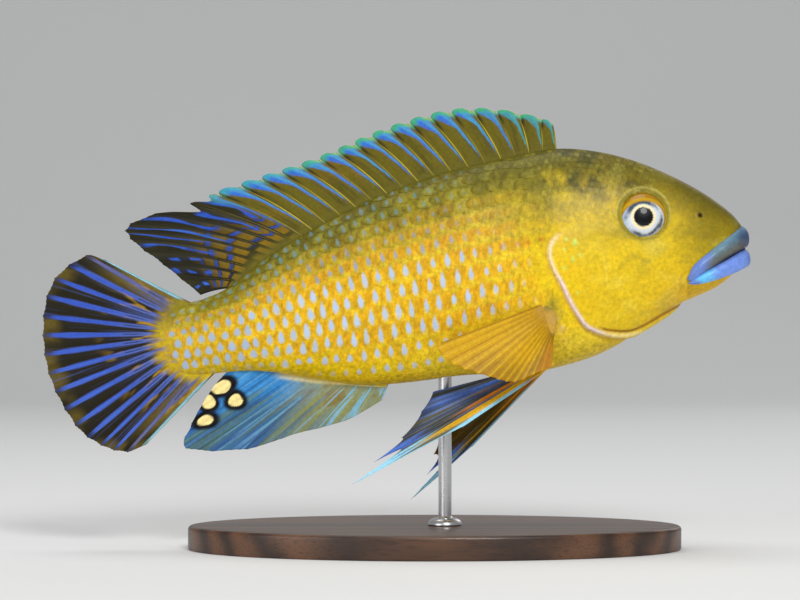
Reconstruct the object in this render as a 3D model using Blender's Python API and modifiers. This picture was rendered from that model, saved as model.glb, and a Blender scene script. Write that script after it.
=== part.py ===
"""A still, life-size display model of a mbuna cichlid, swimming nose up on one rod over a flat base.

The fish is drawn in its own frame, in millimetres: along runs from tail to snout, side is towards the
fish's left, height is over the line through the middle of the body. An empty pitches that frame nose up
and lifts it over the base. World units are metres, +Z up, and the base's underside is at Z = 0.
"""

import math

import bmesh
import bpy
from mathutils import Matrix, Vector

MM = 0.001
GAP = 0.3

# How the fish hangs over the base
PITCH_DEGREES = 9.5
AXIS_HEIGHT = 50.7

# The body's own sections: along, back, belly, height of the widest line, half width
BODY_SECTIONS = (
    (-50.8, 8.2, -5.8, 1.0, 1.3),
    (-46.0, 8.5, -6.9, 0.8, 2.6),
    (-40.0, 8.8, -7.3, 0.7, 3.5),
    (-34.0, 10.5, -7.8, 0.8, 4.4),
    (-28.0, 13.9, -9.0, 1.0, 5.3),
    (-20.0, 17.6, -11.6, 1.4, 6.5),
    (-10.0, 21.2, -14.8, 1.8, 7.8),
    (0.0, 24.0, -15.9, 2.0, 8.7),
    (12.0, 26.4, -16.4, 1.8, 9.4),
    (26.0, 27.6, -18.1, 1.2, 9.8),
    (38.0, 27.9, -17.2, 1.0, 9.8),
    (46.0, 26.2, -15.0, 1.4, 9.5),
    (54.0, 22.9, -12.1, 2.2, 8.8),
    (61.0, 18.7, -9.0, 2.8, 7.5),
    (67.0, 14.2, -7.5, 2.8, 6.0),
    (71.0, 10.4, -6.0, 2.4, 4.5),
    (73.4, 7.6, -4.2, 2.0, 2.9),
    (74.5, 5.6, -2.2, 2.0, 1.4),
)
SECTION_COUNT = 34
SECTION_CROWDING = 1.35
RING_POINTS = 26
BACK_ROUNDNESS = 1.8
FOREHEAD_ROUNDNESS = 2.15
FOREHEAD_START = 36.0
FOREHEAD_LENGTH = 20.0
BELLY_ROUNDNESS = 2.05
TAIL_END_ROUNDING = 2.6
TAIL_END_LENGTH = 8.8
TAIL_CAP = 0.2
SNOUT_CAP = 0.3

# Where the body is parted: the gill cover's rear edge, from the nape to the throat, and the tail stalk
GILL_LINE = (
    (41.0, 34.0),
    (39.6, 22.0),
    (37.2, 11.6),
    (34.4, 9.0),
    (33.0, 5.4),
    (33.5, 1.6),
    (35.4, -4.2),
    (37.8, -9.8),
    (41.0, -12.6),
    (46.0, -14.0),
    (52.0, -17.5),
)
GILL_FLARE = 0.6
GILL_FLARE_FRONT = 46.0
GILL_FLARE_LENGTH = 10.0
STALK_START = -39.0

# The plate of each gill cover, in front of that line
COVER_FRONT = ((45.6, 8.4), (44.6, 5.0), (44.2, 0.0), (44.9, -5.0), (46.4, -9.0))
COVER_REAR = (
    (43.6, -11.4),
    (40.8, -11.0),
    (38.6, -8.6),
    (36.2, -3.4),
    (34.6, 1.0),
    (34.0, 5.2),
    (35.4, 8.4),
    (38.2, 10.4),
    (42.6, 10.2),
)
COVER_LIFT = 0.35
COVER_THICKNESS = 1.8

# The eye: its place on the side of the head, how it faces, and its ball
EYE_ALONG = 54.2
EYE_HEIGHT = 10.5
EYE_FACING = (0.10, 1.0, 0.20)
EYE_RADIUS = 4.8
EYE_BULGE = 2.8
EYE_SINK = 1.2
RIM_RADIUS = 5.1
RIM_THICKNESS = 0.55

NOSTRIL_ALONG = 65.9
NOSTRIL_HEIGHT = 8.8
NOSTRIL_RADIUS = 0.65

# The mouth: both lips follow one bow round the snout, from corner to corner
MOUTH_CORNER = 61.4
UPPER_LIP_FRONT = 74.6
LOWER_LIP_FRONT = 74.2
MOUTH_HALF_WIDTH = 6.5
LIP_THICKNESS = 1.25
LIP_ROOT_DEPTH = 1.3
LIP_TURN_DEGREES = 88.0
MOUTH_LINE_CORNER = -4.3
MOUTH_LINE_RISE = 4.8
UPPER_LIP_CORNER = -2.8
UPPER_LIP_RISE = 7.9
UPPER_LIP_CURVE = 0.85
LOWER_LIP_CORNER = -5.3
LOWER_LIP_RISE = 1.8
LOWER_LIP_CURVE = 1.5
MOUTH_GAP = 0.5
LIP_STATIONS = 19
LIP_RING = 8

# The fins: thickness of the skin between the rays, and how far a ray stands out of it on each face
MEMBRANE = 0.5
RAY_RELIEF = 0.28
SOFT_PLACES = (0.17, 0.83)
SPINY_PLACES = (0.16, 0.55, 0.84)
EDGE_REACH = 0.97
ROOT_SINK = 3.0
RIDGE_TAPER = 0.7

# Half the width, and the reach past the body, of the plain blocks that part it
BLOCK_HALF_WIDTH = 20.0
BLOCK_CLEAR = 40.0

# The display stand
BASE_CENTRE = 8.0
BASE_LENGTH = 104.0
BASE_WIDTH = 62.0
BASE_HEIGHT = 5.0
BASE_CHAMFER = 0.8
ROD_ALONG = 10.2
ROD_RADIUS = 1.4
COLLAR_RADIUS = 3.6
COLLAR_HEIGHT = 1.6


def clamp(value):
    return min(1.0, max(0.0, value))


def flow(rows, place):
    """Reads the smooth curve through rows at a place, where each row is its place and then its values."""
    last = len(rows) - 1
    place = min(max(place, rows[0][0]), rows[last][0])
    span = 0
    while span < last - 1 and place > rows[span + 1][0]:
        span += 1
    near, far = rows[span], rows[span + 1]
    before = rows[max(span - 1, 0)]
    after = rows[min(span + 2, last)]
    width = far[0] - near[0]
    t = (place - near[0]) / width
    values = []
    for k in range(1, len(near)):
        start_slope = (far[k] - before[k]) / (far[0] - before[0]) * width
        end_slope = (after[k] - near[k]) / (after[0] - near[0]) * width
        values.append(
            near[k] * (2 * t**3 - 3 * t**2 + 1)
            + start_slope * (t**3 - 2 * t**2 + t)
            + far[k] * (3 * t**2 - 2 * t**3)
            + end_slope * (t**3 - t**2)
        )
    return values


def smooth_path(points, steps):
    """Points along the smooth curve through a few corner points, with equal steps in each span."""
    rows = [(number, *point) for number, point in enumerate(points)]
    count = (len(points) - 1) * steps
    return [tuple(flow(rows, number / steps)) for number in range(count + 1)]


def new_object(name, mesh):
    obj = bpy.data.objects.new(name, mesh)
    bpy.context.scene.collection.objects.link(obj)
    return obj


def solid(name, points, faces):
    """A mesh object from points in millimetres."""
    mesh = bpy.data.meshes.new(name)
    mesh.from_pydata([Vector(point) * MM for point in points], [], faces)
    shape = bmesh.new()
    shape.from_mesh(mesh)
    bmesh.ops.triangulate(shape, faces=shape.faces, quad_method="SHORT_EDGE")
    bmesh.ops.recalc_face_normals(shape, faces=shape.faces)
    shape.to_mesh(mesh)
    shape.free()
    return new_object(name, mesh)


def discard(objects):
    for obj in objects:
        bpy.data.objects.remove(obj)


def bake(obj):
    """Turns an object with modifiers, or a curve, into a plain closed mesh in world space."""
    bpy.context.view_layer.update()
    evaluated = obj.evaluated_get(bpy.context.evaluated_depsgraph_get())
    mesh = bpy.data.meshes.new_from_object(evaluated)
    mesh.transform(obj.matrix_world)
    shape = bmesh.new()
    shape.from_mesh(mesh)
    bmesh.ops.remove_doubles(shape, verts=shape.verts, dist=1e-6)
    shape.to_mesh(mesh)
    shape.free()
    name = obj.name
    discard([obj])
    return new_object(name, mesh)


def combine(target, pieces, operation):
    """One Boolean of the target with closed pieces, applied, with the pieces removed."""
    tools = bpy.data.collections.new("tools")
    for piece in pieces:
        tools.objects.link(piece)
    boolean = target.modifiers.new(operation.lower(), "BOOLEAN")
    boolean.operation = operation
    boolean.solver = "EXACT"
    boolean.operand_type = "COLLECTION"
    boolean.collection = tools
    result = bake(target)
    discard(list(tools.objects))
    bpy.data.collections.remove(tools)
    return result


def body_volume(faces):
    total = 0.0
    for face in faces:
        corners = [loop.vert.co for loop in face.loops]
        for k in range(1, len(corners) - 1):
            total += corners[0].dot(corners[k].cross(corners[k + 1])) / 6.0
    return total


def keep_largest(obj):
    """Keeps the largest closed surface of a mesh and drops loose scraps."""
    shape = bmesh.new()
    shape.from_mesh(obj.data)
    unseen = set(shape.faces)
    surfaces = []
    while unseen:
        front = [unseen.pop()]
        surface = set(front)
        while front:
            face = front.pop()
            for edge in face.edges:
                for other in edge.link_faces:
                    if other in unseen:
                        unseen.remove(other)
                        surface.add(other)
                        front.append(other)
        surfaces.append(surface)
    largest = max(surfaces, key=lambda surface: abs(body_volume(surface)))
    scraps = [face for face in shape.faces if face not in largest]
    bmesh.ops.delete(shape, geom=scraps, context="FACES")
    shape.to_mesh(obj.data)
    shape.free()
    return obj


def prism(name, outline, near, far):
    """A flat outline in the fish's side view, given a width from one side place to the other."""
    curve = bpy.data.curves.new(name, "CURVE")
    curve.dimensions = "2D"
    curve.fill_mode = "BOTH"
    curve.extrude = (far - near) / 2 * MM
    spline = curve.splines.new("POLY")
    spline.points.add(len(outline) - 1)
    for point, (along, height) in zip(spline.points, outline):
        point.co = (along * MM, height * MM, 0.0, 1.0)
    spline.use_cyclic_u = True
    obj = bpy.data.objects.new(name, curve)
    bpy.context.scene.collection.objects.link(obj)
    obj.rotation_euler = (math.radians(90), 0, 0)
    obj.location = (0, (near + far) / 2 * MM, 0)
    return bake(obj)


def shifted(outline, distance):
    """A closed outline moved outward by a distance, corner by corner."""
    area = 0.0
    for (x0, y0), (x1, y1) in zip(outline, outline[1:] + outline[:1]):
        area += x0 * y1 - x1 * y0
    turn = 1.0 if area > 0 else -1.0
    moved = []
    count = len(outline)
    for k in range(count):
        before, here, after = outline[k - 1], outline[k], outline[(k + 1) % count]
        back = Vector(here) - Vector(before)
        ahead = Vector(after) - Vector(here)
        normals = [Vector((edge.y, -edge.x)).normalized() for edge in (back, ahead)]
        middle = (normals[0] + normals[1]).normalized()
        reach = distance / max(0.4, middle.dot(normals[0]))
        moved.append((here[0] + middle.x * reach * turn, here[1] + middle.y * reach * turn))
    return moved


def upper_roundness(along):
    """How full the upper half of a section is: sharper along the back, rounder over the forehead."""
    return BACK_ROUNDNESS + (FOREHEAD_ROUNDNESS - BACK_ROUNDNESS) * clamp(
        (along - FOREHEAD_START) / FOREHEAD_LENGTH
    )


def body_point(along, angle, grow, flare):
    """A point of the skin, by angle from 0 on the back, over the fish's left, to half a turn at the belly."""
    back, belly, widest, half_width = flow(BODY_SECTIONS, along)
    if flare:
        half_width += GILL_FLARE * clamp((GILL_FLARE_FRONT - along) / GILL_FLARE_LENGTH)
    if math.cos(angle) >= 0:
        rise = back - widest + grow
        roundness = upper_roundness(along)
    else:
        rise = widest - belly + grow
        roundness = BELLY_ROUNDNESS
    across = abs(math.sin(angle)) ** (2 / roundness) * math.copysign(1, math.sin(angle))
    upward = abs(math.cos(angle)) ** (2 / roundness) * math.copysign(1, math.cos(angle))
    tail_share = clamp((BODY_SECTIONS[0][0] + TAIL_END_LENGTH - along) / TAIL_END_LENGTH)
    return (
        along + TAIL_END_ROUNDING * tail_share * upward**2,
        (half_width + grow) * across,
        widest + rise * upward,
    )


def body(name, grow=0.0, flare=False):
    """The whole body from tail stalk to snout as one closed loft, grown outward if asked."""
    tail, snout = BODY_SECTIONS[0][0], BODY_SECTIONS[-1][0]
    points = []
    for number in range(SECTION_COUNT + 1):
        share = 1 - number / SECTION_COUNT
        along = snout - (snout - tail) * share**SECTION_CROWDING
        end = {0: -grow, SECTION_COUNT: grow}.get(number, 0.0)
        for k in range(RING_POINTS):
            x, y, z = body_point(along, 2 * math.pi * k / RING_POINTS, grow, flare)
            points.append((x + end, y, z))
    faces = []
    for number in range(SECTION_COUNT):
        for k in range(RING_POINTS):
            here = number * RING_POINTS + k
            beside = number * RING_POINTS + (k + 1) % RING_POINTS
            faces.append((here, beside, beside + RING_POINTS, here + RING_POINTS))
    middle_height = flow(BODY_SECTIONS, tail)[2]
    points.append((tail - grow - TAIL_CAP, 0.0, middle_height))
    tail_tip = len(points) - 1
    points.append((snout + grow + SNOUT_CAP, 0.0, flow(BODY_SECTIONS, snout)[2]))
    snout_tip = len(points) - 1
    first = SECTION_COUNT * RING_POINTS
    for k in range(RING_POINTS):
        beside = (k + 1) % RING_POINTS
        faces.append((tail_tip, beside, k))
        faces.append((snout_tip, first + k, first + beside))
    return solid(name, points, faces)


def side_of_body(along, height):
    """How far out the skin lies at a place in side view."""
    back, belly, widest, half_width = flow(BODY_SECTIONS, along)
    if height > widest:
        share = (height - widest) / (back - widest)
        roundness = upper_roundness(along)
    else:
        share = (widest - height) / (widest - belly)
        roundness = BELLY_ROUNDNESS
    return half_width * max(0.0, 1 - share**roundness) ** (1 / roundness)


def facing_matrix(place, facing):
    """Turns the local Z axis to a direction and moves to a place in millimetres."""
    turn = Vector(facing).to_track_quat("Z", "Y").to_matrix().to_4x4()
    return Matrix.Translation(Vector(place) * MM) @ turn


def eye_matrix(side):
    facing = Vector((EYE_FACING[0], EYE_FACING[1] * side, EYE_FACING[2])).normalized()
    out = side_of_body(EYE_ALONG, EYE_HEIGHT)
    place = Vector((EYE_ALONG, out * side, EYE_HEIGHT)) - facing * EYE_SINK
    return facing_matrix(place, facing)


def eyeball(name, side, grow=0.0):
    mesh = bpy.data.meshes.new(name)
    shape = bmesh.new()
    bmesh.ops.create_uvsphere(shape, u_segments=20, v_segments=9, radius=1.0)
    bmesh.ops.scale(
        shape,
        vec=((EYE_RADIUS + grow) * MM, (EYE_RADIUS + grow) * MM, (EYE_BULGE + grow) * MM),
        verts=shape.verts,
    )
    shape.transform(eye_matrix(side))
    shape.to_mesh(mesh)
    shape.free()
    return new_object(name, mesh)


def eye_rim(side):
    """The raised ring of skin round the eye."""
    bpy.ops.mesh.primitive_torus_add(
        major_radius=RIM_RADIUS * MM,
        minor_radius=RIM_THICKNESS * MM,
        major_segments=22,
        minor_segments=5,
    )
    rim = bpy.context.object
    facing = Vector((EYE_FACING[0], EYE_FACING[1] * side, EYE_FACING[2])).normalized()
    rim.matrix_world = Matrix.Translation(facing * EYE_SINK * MM) @ eye_matrix(side)
    rim.name = "rim"
    return bake(rim)


def nostril_pit(side):
    mesh = bpy.data.meshes.new("nostril")
    shape = bmesh.new()
    bmesh.ops.create_icosphere(shape, subdivisions=2, radius=NOSTRIL_RADIUS * MM)
    out = side_of_body(NOSTRIL_ALONG, NOSTRIL_HEIGHT)
    shape.transform(Matrix.Translation(Vector((NOSTRIL_ALONG, out * side, NOSTRIL_HEIGHT)) * MM))
    shape.to_mesh(mesh)
    shape.free()
    return new_object("nostril", mesh)


def mouth_line(share):
    """Height of the mouth's slit, from its corner at 0 to the front at 1."""
    return MOUTH_LINE_CORNER + MOUTH_LINE_RISE * share


def upper_lip_edge(share):
    return UPPER_LIP_CORNER + UPPER_LIP_RISE * share**UPPER_LIP_CURVE


def lower_lip_edge(share):
    return LOWER_LIP_CORNER + LOWER_LIP_RISE * share**LOWER_LIP_CURVE


def lip(name, lower_edge, upper_edge, front, grow=0.0):
    """One lip as a bow of oval sections round the snout, thin at the corners of the mouth."""
    reach = front - MOUTH_CORNER
    points = []
    for number in range(LIP_STATIONS):
        turn = math.radians(LIP_TURN_DEGREES * (2 * number / (LIP_STATIONS - 1) - 1))
        share = math.cos(turn)
        taper = min(1.0, 0.35 + 1.6 * share)
        centre = Vector((MOUTH_CORNER + reach * share, MOUTH_HALF_WIDTH * math.sin(turn), 0))
        outward = Vector((share / reach, math.sin(turn) / MOUTH_HALF_WIDTH, 0)).normalized()
        low, high = lower_edge(share), upper_edge(share)
        middle = (low + high) / 2
        half_height = (high - low) / 2 * taper + grow
        for k in range(LIP_RING):
            angle = 2 * math.pi * (k + 0.5) / LIP_RING
            depth = LIP_THICKNESS * taper if math.cos(angle) > 0 else LIP_ROOT_DEPTH * taper
            out = outward * (depth + grow) * math.cos(angle)
            points.append((centre.x + out.x, centre.y + out.y, middle + half_height * math.sin(angle)))
    faces = []
    for number in range(LIP_STATIONS - 1):
        for k in range(LIP_RING):
            here = number * LIP_RING + k
            beside = number * LIP_RING + (k + 1) % LIP_RING
            faces.append((here, beside, beside + LIP_RING, here + LIP_RING))
    faces.append(tuple(range(LIP_RING)))
    faces.append(tuple(reversed(range((LIP_STATIONS - 1) * LIP_RING, LIP_STATIONS * LIP_RING))))
    return solid(name, points, faces)


def upper_lip(name, grow=0.0):
    def slit_edge(share):
        return mouth_line(share) + MOUTH_GAP / 2

    return lip(name, slit_edge, upper_lip_edge, UPPER_LIP_FRONT, grow)


def lower_lip(name, grow=0.0):
    def slit_edge(share):
        return mouth_line(share) - MOUTH_GAP / 2

    return lip(name, lower_lip_edge, slit_edge, LOWER_LIP_FRONT, grow)


def gill_outline():
    """The gill line closed round the head, in front of it."""
    rear = smooth_path(GILL_LINE, 3)
    front = BODY_SECTIONS[-1][0] + BLOCK_CLEAR / 2
    return rear + [(front, rear[-1][1]), (front, rear[0][1])]


def cover_outline():
    ring = COVER_FRONT + COVER_REAR
    closed = ring[-1:] + ring + ring[:2]
    return smooth_path(closed, 2)[2:-4]


def side_range(side):
    return (1.0, BLOCK_HALF_WIDTH) if side > 0 else (-BLOCK_HALF_WIDTH, -1.0)


def gill_cover(name, side):
    """The curved plate over one side's gills."""
    plate = body(name, grow=COVER_LIFT, flare=True)
    plate = combine(plate, [prism("outline", cover_outline(), *side_range(side))], "INTERSECT")
    plate = combine(plate, [body("inner", grow=COVER_LIFT - COVER_THICKNESS, flare=True)], "DIFFERENCE")
    return keep_largest(plate)


def cover_pocket(side):
    """The space in the head that a gill cover's plate lies in."""
    pocket = prism("pocket", shifted(cover_outline(), GAP), *side_range(side))
    return combine(pocket, [body("inner", grow=COVER_LIFT - COVER_THICKNESS - GAP, flare=True)], "DIFFERENCE")


def head():
    """Skull, cheeks and jaws, with sockets for the eyes, lips and gill covers."""
    skull = body("head", flare=True)
    skull = combine(skull, [prism("front", gill_outline(), -BLOCK_HALF_WIDTH, BLOCK_HALF_WIDTH)], "INTERSECT")
    skull = combine(skull, [eye_rim(1), eye_rim(-1)], "UNION")
    hollows = [eyeball("socket", side, GAP) for side in (1, -1)]
    hollows += [nostril_pit(side) for side in (1, -1)]
    hollows += [cover_pocket(side) for side in (1, -1)]
    for hollow in hollows:
        skull = combine(skull, [hollow], "DIFFERENCE")
    for groove in (upper_lip("upper groove", GAP), lower_lip("lower groove", GAP)):
        skull = combine(skull, [groove], "DIFFERENCE")
    return keep_largest(skull)


def block_behind(name, front):
    """A plain block across the whole body behind a place along it."""
    rear = BODY_SECTIONS[0][0] - BLOCK_CLEAR
    outline = [(rear, -BLOCK_CLEAR), (front, -BLOCK_CLEAR), (front, BLOCK_CLEAR), (rear, BLOCK_CLEAR)]
    return prism(name, outline, -BLOCK_HALF_WIDTH, BLOCK_HALF_WIDTH)


def trunk():
    """The body from the gill line to the tail stalk."""
    flesh = body("trunk")
    front = prism("front", shifted(gill_outline(), GAP), -BLOCK_HALF_WIDTH, BLOCK_HALF_WIDTH)
    flesh = combine(flesh, [front], "DIFFERENCE")
    flesh = combine(flesh, [block_behind("stalk", STALK_START)], "DIFFERENCE")
    return keep_largest(flesh)


def tail_stalk():
    """The narrow stalk that carries the tail fin."""
    flesh = body("tail_stalk")
    flesh = combine(flesh, [block_behind("stalk", STALK_START - GAP)], "INTERSECT")
    return keep_largest(flesh)


def fin(name, rays, normal, reach, rows=6, bow=0.0, sway=None, between=SOFT_PLACES, sink=ROOT_SINK):
    """A closed sheet over a fan of rays, each ray a ridge raised on both faces.

    rays holds the root and tip of each ray. reach gives the share of the way to the tips that the
    margin has in a space between two rays, from the ray in front at 0 to the ray behind at 1, and
    between holds the places across that space where the sheet has points.
    """
    rays = [(Vector(root), Vector(tip)) for root, tip in rays]
    normal = Vector(normal).normalized()
    last = len(rays) - 1

    def on_ray(number, share):
        root, tip = rays[number]
        line = tip - root
        start = -sink / line.length
        share = start + (1 - start) * share
        arch = normal.cross(line) * bow * 4 * share * (1 - share) if share > 0 else Vector()
        return root + line * share + arch

    def place(column, share):
        first = min(max(int(math.floor(column)), 0), last - 1)
        part = column - first
        point = on_ray(first, share).lerp(on_ray(first + 1, share), part)
        if sway:
            point += normal * sway(column / last, share)
        return point

    edge_share = between[0]
    columns = [(-edge_share, 0.0, EDGE_REACH)]
    for number in range(last + 1):
        columns.append((float(number), 1.0, 1.0))
        if number < last:
            columns += [(number + part, 0.0, reach(number, part)) for part in between]
    columns.append((last + edge_share, 0.0, EDGE_REACH))

    count = len(columns)
    faces_up, faces_down = [], []
    for column, ridge, edge in columns:
        for row in range(rows + 1):
            share = row / rows * edge
            half = MEMBRANE / 2 + RAY_RELIEF * ridge * (1 - RIDGE_TAPER * row / rows)
            point = place(column, share)
            faces_up.append(point + normal * half)
            faces_down.append(point - normal * half)
    points = faces_up + faces_down
    other = len(faces_up)
    faces = []

    def spot(column, row, down=False):
        return column * (rows + 1) + row + (other if down else 0)

    for column in range(count - 1):
        for row in range(rows):
            a, b = spot(column, row), spot(column + 1, row)
            c, d = spot(column + 1, row + 1), spot(column, row + 1)
            faces += [(a, b, c), (a, c, d)]
            a, b, c, d = a + other, b + other, c + other, d + other
            faces += [(c, b, a), (d, c, a)]
    for column in range(count - 1):
        for row in (0, rows):
            a, b = spot(column, row), spot(column + 1, row)
            faces.append((a, b, b + other, a + other))
    for row in range(rows):
        for column in (0, count - 1):
            a, b = spot(column, row), spot(column, row + 1)
            faces.append((a, b, b + other, a + other))
    return solid(name, points, faces)


def cut_clear_of_body(sheet):
    """Ends a fin on the body's skin, a small gap away."""
    return keep_largest(combine(sheet, [body("body", grow=GAP)], "DIFFERENCE"))


def ray_rows(roots, tips, count):
    """Roots and tips of an even row of rays, read from two smooth lines by ray number."""
    return [(flow(roots, number), flow(tips, number)) for number in range(count)]


DORSAL_ROOTS = (
    (0, 38.6, 0.0, 27.8),
    (4, 26.9, 0.0, 27.4),
    (8, 12.4, 0.0, 26.2),
    (12, -1.5, 0.0, 23.5),
    (16, -14.7, 0.0, 19.2),
    (21, -24.6, 0.0, 15.2),
    (26, -34.0, 0.0, 10.2),
)
DORSAL_TIPS = (
    (0, 38.8, 0.0, 33.3),
    (1, 36.3, 0.0, 34.9),
    (3, 26.9, 0.0, 38.3),
    (5, 17.2, 0.0, 39.6),
    (8, 3.8, 0.0, 38.0),
    (12, -11.9, 0.0, 34.2),
    (16, -29.6, 0.0, 31.4),
    (18, -40.5, 0.0, 29.4),
    (20, -52.6, 0.0, 27.0),
    (22, -53.2, 0.0, 23.8),
    (24, -47.1, 0.0, 17.2),
    (26, -40.4, 0.0, 9.7),
)
DORSAL_RAYS = 27
SPINE_COUNT = 18
SPLIT_BEHIND = 0.55
LAPPET_DEPTH = 0.11
LAPPET_START = 0.4
LAPPET_LENGTH = 0.45
SOFT_SCALLOP = 0.04


def lappet_edge(_space, part):
    """The spiny fin's toothed margin: high behind each spine, low in front of the next."""
    return 1.0 - LAPPET_DEPTH * clamp((part - LAPPET_START) / LAPPET_LENGTH)


def soft_edge(_space, part):
    """A soft fin's margin, very slightly scalloped between two rays."""
    return 1.0 - SOFT_SCALLOP * math.sin(math.pi * part)


def behind_last_spine(name, rays, behind):
    """A block over all that lies behind the last spine by a given distance."""
    root, tip = (Vector((end[0], end[2])) for end in rays[SPINE_COUNT - 1])
    line = (tip - root).normalized()
    back = Vector((line.y, -line.x)) * math.copysign(1, -line.y)
    low = root - line * BLOCK_CLEAR + back * behind
    high = tip + line * BLOCK_CLEAR + back * behind
    corners = [low, high, high + back * BLOCK_CLEAR * 2, low + back * BLOCK_CLEAR * 2]
    return prism(name, [tuple(corner) for corner in corners], -BLOCK_HALF_WIDTH, BLOCK_HALF_WIDTH)


def dorsal_fin():
    """The long back fin, spines in front and soft rays in a pointed lobe behind."""
    rays = ray_rows(DORSAL_ROOTS, DORSAL_TIPS, DORSAL_RAYS)
    front, rear = rays[: SPINE_COUNT + 1], rays[SPINE_COUNT - 1 :]
    spiny = fin("dorsal_fin_spiny", front, (0, 1, 0), lappet_edge, bow=0.04, between=SPINY_PLACES)
    spiny = combine(spiny, [behind_last_spine("split", rays, SPLIT_BEHIND)], "DIFFERENCE")
    soft = fin("dorsal_fin_soft", rear, (0, 1, 0), soft_edge)
    soft = combine(soft, [behind_last_spine("split", rays, SPLIT_BEHIND + GAP)], "INTERSECT")
    return [cut_clear_of_body(spiny), cut_clear_of_body(soft)]


CAUDAL_ROOTS = (
    (0, -42.8, 0.0, 8.3),
    (2, -46.6, 0.0, 6.2),
    (8, -49.4, 0.0, 1.0),
    (14, -45.4, 0.0, -5.6),
    (16, -40.6, 0.0, -7.2),
)
CAUDAL_TIPS = (
    (0, -59.6, 0.0, 20.6),
    (1, -62.9, 0.0, 22.0),
    (3, -70.3, 0.0, 18.3),
    (5, -74.1, 0.0, 10.8),
    (8, -75.0, 0.0, -1.4),
    (11, -71.2, 0.0, -13.2),
    (13, -66.5, 0.0, -18.3),
    (15, -61.2, 0.0, -20.6),
    (16, -57.4, 0.0, -19.8),
)
CAUDAL_RAYS = 17
CAUDAL_SWAY = 1.2


def caudal_fin():
    """The tail fin, an even fan with a rounded rear edge."""
    rays = ray_rows(CAUDAL_ROOTS, CAUDAL_TIPS, CAUDAL_RAYS)
    sheet = fin(
        "caudal_fin",
        rays,
        (0, 1, 0),
        soft_edge,
        rows=7,
        sway=lambda column, share: CAUDAL_SWAY * share**2,
    )
    return cut_clear_of_body(sheet)


ANAL_ROOTS = ((0, -4.8, 0.0, -15.8), (3, -13.1, 0.0, -13.2), (7, -26.0, 0.0, -9.4), (11, -37.6, 0.0, -7.3))
ANAL_TIPS = (
    (0, -6.4, 0.0, -18.6),
    (1, -11.1, 0.0, -20.5),
    (2, -15.2, 0.0, -21.7),
    (4, -25.9, 0.0, -22.7),
    (6, -36.0, 0.0, -24.1),
    (8, -48.8, 0.0, -21.8),
    (9, -47.2, 0.0, -17.5),
    (10, -43.9, 0.0, -13.2),
    (11, -40.6, 0.0, -9.6),
)
ANAL_RAYS = 12


def anal_fin():
    """The fin behind the vent, three spines and a pointed soft lobe."""
    rays = ray_rows(ANAL_ROOTS, ANAL_TIPS, ANAL_RAYS)
    sheet = fin("anal_fin", rays, (0, 1, 0), soft_edge, rows=6)
    return cut_clear_of_body(sheet)


PELVIC_ROOTS = ((0, 29.8, 3.4, -17.2), (5, 25.0, 2.6, -16.8))
PELVIC_TIPS = {
    -1: (
        (0, 9.4, 9.6, -26.4),
        (1, -15.2, 14.5, -34.2),
        (2, -9.9, 12.5, -30.5),
        (3, -3.5, 10.0, -26.6),
        (4, 1.5, 7.6, -22.0),
        (5, 4.6, 5.4, -18.4),
    ),
    1: (
        (0, 11.1, 13.0, -32.0),
        (1, -4.0, 20.0, -41.7),
        (2, 0.4, 18.0, -36.8),
        (3, 2.6, 15.6, -32.6),
        (4, 4.2, 12.8, -28.4),
        (5, 7.2, 9.6, -24.0),
    ),
}
PELVIC_RAYS = 6
PELVIC_SINK = 2.0
FILAMENT_SPREAD = (0.05, 0.26, 0.13, 0.07, 0.05)


def filament_edge(space, part):
    """The belly fin's margin falls well back only between its drawn-out first soft rays."""
    return 1.0 - FILAMENT_SPREAD[space] * math.sin(math.pi * part) ** 0.7


def pelvic_fin(name, side):
    """A belly fin, whose first soft rays run out into filaments."""
    rays = []
    for root, tip in ray_rows(PELVIC_ROOTS, PELVIC_TIPS[side], PELVIC_RAYS):
        rays.append(((root[0], root[1] * side, root[2]), (tip[0], tip[1] * side, tip[2])))
    normal = (Vector(rays[1][1]) - Vector(rays[1][0])).cross(Vector(rays[5][1]) - Vector(rays[1][0]))
    sheet = fin(name, rays, normal, filament_edge, rows=8, between=SPINY_PLACES, sink=PELVIC_SINK)
    return cut_clear_of_body(sheet)


PECTORAL_ROOTS = ((0, 31.6, 8.9, -3.8), (6, 31.4, 9.1, -6.8), (13, 31.4, 8.7, -10.4))
PECTORAL_TIPS = (
    (0, 7.8, 16.0, -8.4),
    (1, 6.9, 16.4, -9.6),
    (3, 9.4, 16.4, -13.2),
    (6, 16.4, 15.8, -17.0),
    (9, 21.4, 14.6, -19.0),
    (11, 25.4, 13.4, -18.2),
    (13, 29.6, 12.2, -17.2),
)
PECTORAL_RAYS = 14
LOBE_RADII = (2.6, 1.5, 4.3)
LOBE_CENTRE = (31.4, 9.7, -7.1)


def pectoral_fin(name, side):
    """A breast fin fanned out from a fleshy lobe behind the gill cover."""
    rays = []
    for root, tip in ray_rows(PECTORAL_ROOTS, PECTORAL_TIPS, PECTORAL_RAYS):
        rays.append(((root[0], root[1] * side, root[2]), (tip[0], tip[1] * side, tip[2])))
    normal = (Vector(rays[0][1]) - Vector(rays[0][0])).cross(Vector(rays[13][1]) - Vector(rays[13][0]))
    sheet = fin(name, rays, normal, soft_edge, rows=5, sink=0.0)
    mesh = bpy.data.meshes.new("lobe")
    shape = bmesh.new()
    bmesh.ops.create_uvsphere(shape, u_segments=10, v_segments=6, radius=1.0)
    bmesh.ops.scale(shape, vec=Vector(LOBE_RADII) * MM, verts=shape.verts)
    centre = Vector((LOBE_CENTRE[0], LOBE_CENTRE[1] * side, LOBE_CENTRE[2])) * MM
    shape.transform(Matrix.Translation(centre))
    shape.to_mesh(mesh)
    shape.free()
    sheet = combine(sheet, [new_object("lobe", mesh)], "UNION")
    return cut_clear_of_body(sheet)


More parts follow.
